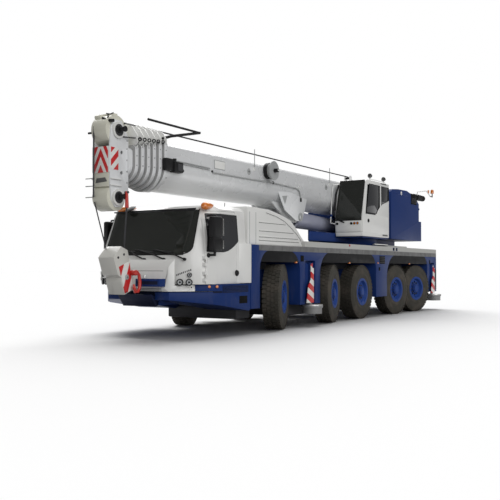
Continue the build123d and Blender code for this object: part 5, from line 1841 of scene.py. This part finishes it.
@dataclass
class Boom(Assembly):
    """The telescopic boom, its luffing cylinder and the hook block."""

    sections: int = 6
    base_front: float = 2.86
    pitch: float = 0.13
    nesting: float = 0.03
    collar_half: float = 0.46
    collar_top: float = 3.63
    stroke: float = 9.3
    sheave_x: float = 3.85
    sheave_heights: Pair = (3.70, 2.52)
    rope_y: float = -0.12
    rope_z: float = 3.942
    rope_radius: float = 0.015
    rope_guide_x: float = -6.5
    rope_out: float = 0.257
    drum_top: Pair = (-8.60, 3.452)
    reel_place: Point = (-0.895, 0.42, 3.475)
    block_top: Pair = (4.081, 2.435)
    block_lean: float = 20.21
    block_stretch: float = 0.25
    block_tuck: float = 0.14
    barrel_foot_x: float = -6.5
    barrel_share: float = 1.26

    def body(self, index: int) -> str:
        """The body of a boom section, counted from the base."""
        return f"boom_section_{index}" if index else "boom_base"

    def collar_details(self) -> None:
        """On each collar a rope support, a cable eye and bolts; over each section its length of rope."""
        for index in range(self.sections + 1):
            front = self.base_front + self.pitch * index
            kit = Kit(f"{self.body(index)}_fittings", self.body(index), WHITE)
            if index < self.sections:
                self.rope_support(kit, front, self.collar_half - self.nesting * index, self.nesting * index)
            end = front - self.stroke if index else self.rope_guide_x
            start = front if index < self.sections else self.sheave_x
            rope = [(x, self.rope_y, self.rope_z) for x in (start, end)]
            kit.pipe(rope, self.rope_radius, CAST)
            if index == 0:
                self.base_details(kit)
            if index == self.sections:
                self.head_details(kit)
            self.close(kit)

    def rope_support(self, kit: Kit, front: float, half: float, lower: float) -> None:
        """One collar's rope support with its roller, cable eye and bolts.

        Args:
            kit: The section's kit.
            front: The collar's front.
            half: Half the collar's width.
            lower: How far its top is below the base section's.
        """
        top, wide = self.collar_top - lower, half + 0.02
        fin = [
            (-0.24, top - 0.01), (-0.20, 3.80), (-0.15, 3.90), (0.14, 3.895), (wide - 0.10, 3.80),
            (wide, 3.66), (wide, top - 0.06), (wide - 0.05, top - 0.01),
        ]
        kit.plate(View.FRONT, (front - 0.055, front - 0.03), fin, WHITE, 0.006)
        roller = [(front - 0.042, self.rope_y + half_width, 3.91) for half_width in (-0.06, 0.06)]
        kit.rod(*roller, 0.016, BRIGHT)
        kit.block((front - 0.075, half - 0.06, top - 0.02), (front - 0.03, half - 0.01, top + 0.012), WHITE)
        x, y, z = front + 0.032, 0.45, 3.602 - 0.008 * lower / self.nesting
        kit.turned(ring(0.018, 0.036, 0.014), (x, y, z), (0.8, 0.5, 0.1), BLACK, 20)
        kit.pipe([(front - 0.045, half - 0.03, top - 0.03), (x - 0.004, y - 0.004, z - 0.02)], 0.008, GREY)
        for side in (-1, 1):
            for z in (2.95, 3.12, 3.29, 3.46):
                bolt = [(front - 0.05, side * (half + out), z) for out in (-0.004, 0.008)]
                kit.rod(*bolt, 0.013, GREY)

    def base_details(self, kit: Kit) -> None:
        """Valve boxes, pipes, plate, posts and rope guide along the base section."""
        kit.block((2.66, 0.425, 3.085), (2.885, 0.53, 3.315), BLACK, 0.02)
        kit.block((2.40, 0.425, 3.07), (2.67, 0.56, 3.272), BLACK, 0.02)
        kit.block((2.44, 0.54, 3.10), (2.58, 0.58, 3.23), CAST, 0.02)
        kit.block((0.80, 0.42, 3.30), (1.20, 0.438, 3.485), GREY, 0.004)
        kit.block((0.815, 0.43, 3.315), (1.185, 0.442, 3.47), WHITE, 0.004)
        kit.rod((2.60, 0.50, 3.26), (2.60, 0.50, 3.33), 0.035, BLACK)
        kit.rod((1.28, 0.42, 3.236), (1.28, 0.455, 3.236), 0.022, BLACK)
        kit.turned(lens(0.034, 0.03), (-1.16, 0.44, 3.234), LEFT, BLACK)
        rear_pipe = [(-1.17, 0.452, 3.233), (-2.291, 0.452, 3.204), (-2.43, 0.452, 3.15), (-2.50, 0.45, 2.98)]
        for points, radius, finish in (
            ([(2.42, 0.55, 3.10), (2.36, 0.52, 3.12), (2.34, 0.46, 3.20)], 0.02, BLACK),
            ([(2.46, 0.45, 3.265), (2.1, 0.448, 3.265), (1.38, 0.448, 3.253)], 0.011, GREY),
            ([(2.46, 0.45, 3.30), (2.1, 0.448, 3.30), (1.38, 0.448, 3.288)], 0.011, GREY),
            ([(1.28, 0.452, 3.213), (0.0, 0.452, 3.22), (-1.141, 0.452, 3.233)], 0.018, GREY),
            (rear_pipe, 0.017, GREY),
            ([(-2.50, 0.45, 2.99), (-2.51, 0.447, 2.90)], 0.024, BLACK),
            ([(3.33, 0.46, 3.953), (1.744, 0.46, 3.944)], 0.022, BLACK),
            ([(1.744, 0.46, 3.944), (2.675, 0.46, 3.741), (2.84, 0.40, 3.68)], 0.028, BLACK),
        ):
            kit.pipe(points, radius, finish)
        for x in (0.9, 0.1, -0.8, -1.7, -2.4):
            kit.block((x - 0.015, 0.42, 3.212), (x + 0.015, 0.462, 3.25), WHITE, 0.003)
        for x in (-3.93, -0.139):
            kit.turned(lens(0.075, 0.006), (x, 0.428, 3.383), LEFT, GREY)
        for x in (-0.36, -4.125):
            kit.block((x - 0.03, 0.415, 3.42), (x + 0.03, 0.445, 3.50), WHITE, 0.004)
            kit.pipe([(x, 0.44, 3.46), (x, 0.44, 3.90)], 0.009, GREY)
        self.rope_guide(kit)
        self.hose_reel(kit)
        kit.plate(View.SIDE, (0.43, 0.437), [(-1.60, 2.97), (-1.86, 3.0), (-1.74, 2.78)], GREY, 0.003)
        kit.turned(ring(0.05, 0.10, 0.02), (-2.50, 0.434, 2.53), LEFT, GREY)
        cheek = [
            (-1.42, 3.06), (-2.0, 3.09), (-2.85, 2.98), (-2.76, 2.73), (-2.58, 2.43), (-2.30, 2.42),
            (-1.75, 2.64),
        ]
        # The cheeks take the boom's darker white, which is painted shade.
        for middle in (-0.424, 0.424):
            kit.plate(View.SIDE, (middle - 0.01, middle + 0.01), cheek, BOOM_SHADED_WHITE, 0.006)

    def rope_guide(self, kit: Kit) -> None:
        """The roller in its two cheeks at the base's rear, and the rope from it to the drum."""
        x = self.rope_guide_x
        cheek = [(x - 0.14, 3.59), (x - 0.05, 3.97), (x + 0.05, 3.97), (x + 0.14, 3.59)]
        for middle in (-0.2, -0.04):
            kit.plate(View.SIDE, (middle - 0.01, middle + 0.01), cheek, WHITE, 0.004)
        kit.rod((x, -0.19, 3.90), (x, -0.05, 3.90), 0.032, BLACK)
        drum_x, drum_z = self.drum_top
        kit.pipe([(x, self.rope_y, self.rope_z), (drum_x, self.rope_y, drum_z)], self.rope_radius, CAST)

    def hose_reel(self, kit: Kit) -> None:
        """The reel on the base's left side, with its hose and hub."""
        x, y, z = self.reel_place
        reel = [(0.0, 0.0), (0.17, 0.0), (0.17, 0.19), (0.215, 0.195), (0.215, 0.215), (0.0, 0.215)]
        kit.turned(reel, self.reel_place, LEFT, GREY, 40)
        kit.turned(ring(0.165, 0.182, 0.09), (x, y + 0.03, z), LEFT, BLACK, 40)
        kit.rod((x, y + 0.21, z), (x, y + 0.315, z), 0.045, BLACK)
        kit.turned(lens(0.02, 0.012), (x, y + 0.315, z), LEFT, WHITE, 16)

    def head_details(self, kit: Kit) -> None:
        """Warning stripes, hubs, pins, rods and the rope round the boom's head."""
        x = self.sheave_x
        kit.block((4.045, -0.165, 2.945), (4.062, 0.165, 3.40), HEAD_CHEVRON, 0.003)
        kit.block((3.98, -0.165, 2.70), (4.052, 0.165, 2.95), CREAM, 0.006)
        recess = [(-0.125, 2.765), (-0.10, 2.85), (0.10, 2.86), (0.145, 2.785)]
        kit.plate(View.FRONT, (4.045, 4.056), recess, SHADE, 0.004)
        for side in (-1, 1):
            near, far = 0.2, 0.206
            kit.block(*side_box(side, (3.83, near, 3.0), (4.02, far, 3.39)), CHEEK_STRIPES, 0.002)
            for z in self.sheave_heights:
                kit.turned(ring(0.088, 0.145, 0.035), (x, side * near, z), (0, side, 0), WHITE, 36)
                kit.turned(ring(0.05, 0.105, 0.012), (x, side * 0.236, z), (0, side, 0), CAST, 30)
            for z in (2.838, 2.724):
                kit.block(*side_box(side, (3.76, near, z - 0.008), (4.04, 0.23, z + 0.008)), WHITE, 0.003)
            for z in (2.62, 2.80, 3.0, 3.2, 3.4, 3.55):
                kit.rod((3.60, side * 0.198, z), (3.60, side * 0.212, z), 0.016, GREY)
        for height in self.sheave_heights:
            z = height + 0.01
            kit.rod((x + 0.02, 0.238, z), (x + 0.02, 0.275, z), 0.068, BLACK, edge=0.01)
            kit.rod((x + 0.01, 0.27, z), (x - 0.01, 0.35, z), 0.042, BLACK, edge=0.008)
            kit.rod((x - 0.01, 0.345, z), (x - 0.01, 0.385, z), 0.052, BLACK, edge=0.01)
        for z in (2.856, 2.721, 2.526):
            kit.rod((4.05, -0.19, z), (4.05, -0.36, z), 0.009, GREY)
        kit.rod((4.05, -0.19, 3.66), (4.05, -0.30, 3.66), 0.02, BLACK)
        for points, radius, finish in (
            ([(3.70, 0.215, 3.845), (3.40, 0.22, 3.85)], 0.010, CAST),
            ([(3.72, 0.215, 3.60), (3.36, 0.33, 3.61)], 0.012, CAST),
            ([(4.03, 0.14, 3.56), (4.03, 0.14, 3.965)], 0.014, BLACK),
            ([(4.03, 0.02, 3.90), (4.035, 0.12, 3.85), (4.02, 0.26, 3.84)], 0.030, BLACK),
            ([(4.03, 0.10, 3.975), (4.03, 0.19, 3.955), (4.0, 0.24, 3.98)], 0.010, BLACK),
        ):
            kit.pipe(points, radius, finish)
        kit.pipe(self.head_rope(), self.rope_radius, CAST)
        kit.rod((4.0, -0.165, 3.93), (4.0, -0.03, 3.93), 0.045, CREAM)

    def head_rope(self) -> list[Point]:
        """The rope over the upper sheave and down to the lower one."""
        upper, lower = self.sheave_heights
        rise = self.rope_z - upper
        turns = (math.radians(11.25 * index) for index in range(9))
        over = [(self.rope_out * math.sin(turn), upper + rise * math.cos(turn)) for turn in turns]
        return [(self.sheave_x + out, self.rope_y, z) for out, z in (*over, (self.rope_out, lower))]

    def hook(self) -> None:
        """The hook block: grey cheeks, striped side plate, hook, second fall and its wedge socket."""
        rope = [Zone((3.5, -0.2, 1.62), (4.2, 0.0, 2.6), CAST)]
        block = self.softened("hook_block", "hook_block", BLOCK_GREY, 0.014, rope)
        kit = Kit("hook_block_fittings", "hook_block", BLOCK_GREY)
        lean = math.radians(self.block_lean)
        top_x, top_z = self.block_top

        def longer(x: float, y: float, z: float) -> Point:
            """Stretch the block's lower part and narrow its far side."""
            down = (top_x - x) * math.sin(lean) + (top_z - z) * math.cos(lean)
            extra = self.block_stretch * max(0.0, down - 1.0)
            return x - extra * math.sin(lean), y + self.block_tuck * (y < -0.2), z - extra * math.cos(lean)

        def along(down: float, across: float) -> Pair:
            """A place down the fall and across it, positive forwards."""
            return (
                top_x - down * math.sin(lean) + across * math.cos(lean),
                top_z - down * math.cos(lean) - across * math.sin(lean),
            )

        reshape(block, longer)
        plate = [along(1.16, -0.17), along(1.16, 0.12), along(1.655, 0.135), along(1.665, -0.08)]
        kit.plate(View.SIDE, (0.186, 0.202), plate, BLOCK_STRIPES, 0.004)
        x, z = along(1.40, -0.005)
        kit.turned(lens(0.05, 0.02), (x, 0.20, z), LEFT, GREY)
        for down, across in ((1.0, 0.08), (1.0, -0.08), (1.64, 0.10), (1.64, -0.10)):
            x, z = along(down, across)
            for side, y in ((1, 0.19), (-1, -0.17)):
                kit.turned(lens(0.022, 0.014), (x, y, z), (0, side, 0), CAST, 12)
        hook = [
            (3.47, 1.20), (3.40, 1.215), (3.345, 1.16), (3.318, 1.04), (3.325, 0.93), (3.375, 0.86),
            (3.445, 0.86), (3.475, 0.94),
        ]
        kit.pipe([(x, 0.27, z) for x, z in hook], 0.031, RED)
        kit.rod((3.46, 0.20, 1.20), (3.46, 0.31, 1.20), 0.05, RED, edge=0.01)
        kit.rod((3.475, 0.27, 0.93), (3.485, 0.27, 1.0), 0.031, RED, tip=0.016)
        kit.rod((3.83, 0.40, 2.33), (3.83, 0.40, 2.62), 0.036, RED, tip=0.024, edge=0.01)
        kit.rod((3.83, 0.355, 2.60), (3.83, 0.44, 2.60), 0.02, CAST)
        kit.pipe([(3.83, 0.40, 2.34), (3.73, 0.28, 1.95), (3.62, 0.16, 1.60)], self.rope_radius, CAST)
        self.close(kit)

    def base_form(self, x: float, y: float, z: float) -> Point:
        """The base section's underside raised, most at its middle height."""
        if 2.70 < z < 3.13:
            share = (3.13 - z) / 0.43
        else:
            share = min(1.0, max(0.0, (z - 2.58) / 0.12)) * (z < 3.0)
        return x, y, z + 0.05 * share

    def barrel_form(self, x: float, y: float, z: float) -> Point:
        """The luffing barrel thickened about its own line, but not at its foot."""
        middle = 2.39 + (x + 7.0) * 0.0286
        share = self.barrel_share if x > self.barrel_foot_x else 1.0
        return x, y * share, middle + (z - middle) * share

    def build(self) -> None:
        """Round the forms, finish them and add the fittings."""
        # Each collar's front face is painted dark grey as painted shade, giving dark stripes along the boom.
        collar_shade_zones = [
            Zone((front - 0.006, -0.5, 2.5), (front + 0.006, 0.5, 3.7), COLLAR_FACE_SHADE)
            for front in (self.base_front + self.pitch * index for index in range(self.sections))
        ]
        # The boom sections take the darker white as painted shade.
        base = self.softened("boom_base", "boom_base", BOOM_SHADED_WHITE, 0.008, collar_shade_zones)
        reshape(base, self.base_form)
        cream = [
            Zone((3.5, -0.172, 3.35), (4.2, 0.172, 4.0), CREAM),
            Zone((3.5, -0.172, 2.2), (4.2, 0.172, 2.8), CREAM),
        ]
        for index in range(1, self.sections + 1):
            zones = cream if index == self.sections else collar_shade_zones
            self.softened(self.body(index), self.body(index), BOOM_SHADED_WHITE, 0.006, zones)
        # The barrel's pale grey-blue is a painted reflection.
        barrel = self.softened("luff_barrel", "luff_barrel", BARREL_PAINTED_SHEEN, 0.004)
        reshape(barrel, self.barrel_form)
        self.coat("luff_rod", CHROME)
        self.collar_details()
        self.hook()


@dataclass
class Studio:
    """Floor, lights, world and the camera of the photograph."""

    camera_place: Point = (14.037, 9.241, 1.281)
    heading: float = 31.781
    pitch: float = 1.359
    lens: float = 55.36
    key_strength: float = 3.1
    key_spread: float = 65.0
    key_side: Point = (-0.48, -0.38, 0.79)
    fill_strength: float = 1.75
    fill_spread: float = 60.0
    fill_side: Point = (0.42, 0.88, 0.30)
    world_strength: float = 0.24
    floor_size: float = 400.0

    def floor(self) -> bpy.types.Object:
        """A wide pale floor."""
        BENCH.clear()
        bpy.ops.mesh.primitive_plane_add(size=self.floor_size)
        floor = bpy.context.object
        floor.name = "studio_floor"
        floor.data.materials.append(FLOOR.build())
        return floor

    def sun(self, name: str, strength: float, spread: float, side: Point) -> bpy.types.Object:
        """A wide soft light from far away.

        Args:
            name: Its name.
            strength: Its strength.
            spread: Its width in degrees.
            side: Where it comes from.

        Returns:
            The light.
        """
        data = bpy.data.lights.new(name, "SUN")
        data.energy = strength
        data.angle = math.radians(spread)
        lamp = shown(name, data)
        lamp.rotation_euler = (-Vector(side)).to_track_quat("-Z", "Y").to_euler()
        return lamp

    def world(self) -> None:
        """An even pale world that the camera sees as white."""
        world = bpy.data.worlds.new("studio_world")
        bpy.context.scene.world = world
        world.use_nodes = True
        tree = world.node_tree
        background = tree.nodes["Background"]
        path = tree.nodes.new("ShaderNodeLightPath")
        strength = tree.nodes.new("ShaderNodeMapRange")
        strength.inputs["To Min"].default_value = self.world_strength
        strength.inputs["To Max"].default_value = 1.0
        background.inputs["Color"].default_value = (1.0, 1.0, 1.0, 1.0)
        tree.links.new(path.outputs["Is Camera Ray"], strength.inputs["Value"])
        tree.links.new(strength.outputs[0], background.inputs["Strength"])

    def camera(self) -> None:
        """The photograph's camera."""
        data = bpy.data.cameras.new("camera")
        data.lens = self.lens
        data.clip_end = 500.0
        camera = shown("camera", data)
        camera.location = at(*self.camera_place)
        turn, rise = math.radians(self.heading), math.radians(self.pitch)
        gaze = Vector((-math.cos(turn) * math.cos(rise), -math.sin(turn) * math.cos(rise), math.sin(rise)))
        camera.rotation_euler = gaze.to_track_quat("-Z", "Y").to_euler()
        bpy.context.scene.camera = camera

    def build(self) -> None:
        """Set the stage."""
        bpy.context.scene.view_settings.view_transform = "Standard"
        floor = self.floor()
        self.world()
        self.sun("key_light", self.key_strength, self.key_spread, self.key_side)
        fill = self.sun("fill_light", self.fill_strength, self.fill_spread, self.fill_side)
        spared = bpy.data.collections.new("spared_by_the_fill_light")
        spared.objects.link(floor)
        spared.collection_objects[0].light_linking.link_state = "EXCLUDE"
        fill.light_linking.receiver_collection = spared
        self.camera()


def main() -> None:
    """Build the crane's looks around its frame."""
    FRAME.update(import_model())
    Studio().build()
    for assembly in (Wheels(), Carrier(), DriverCab(), Upper(), Boom()):
        assembly.build()
        log.info("%s done", type(assembly).__name__)
    BENCH.clear()


if __name__ == "__main__":
    logging.basicConfig(level=logging.INFO, format="%(message)s")
    main()
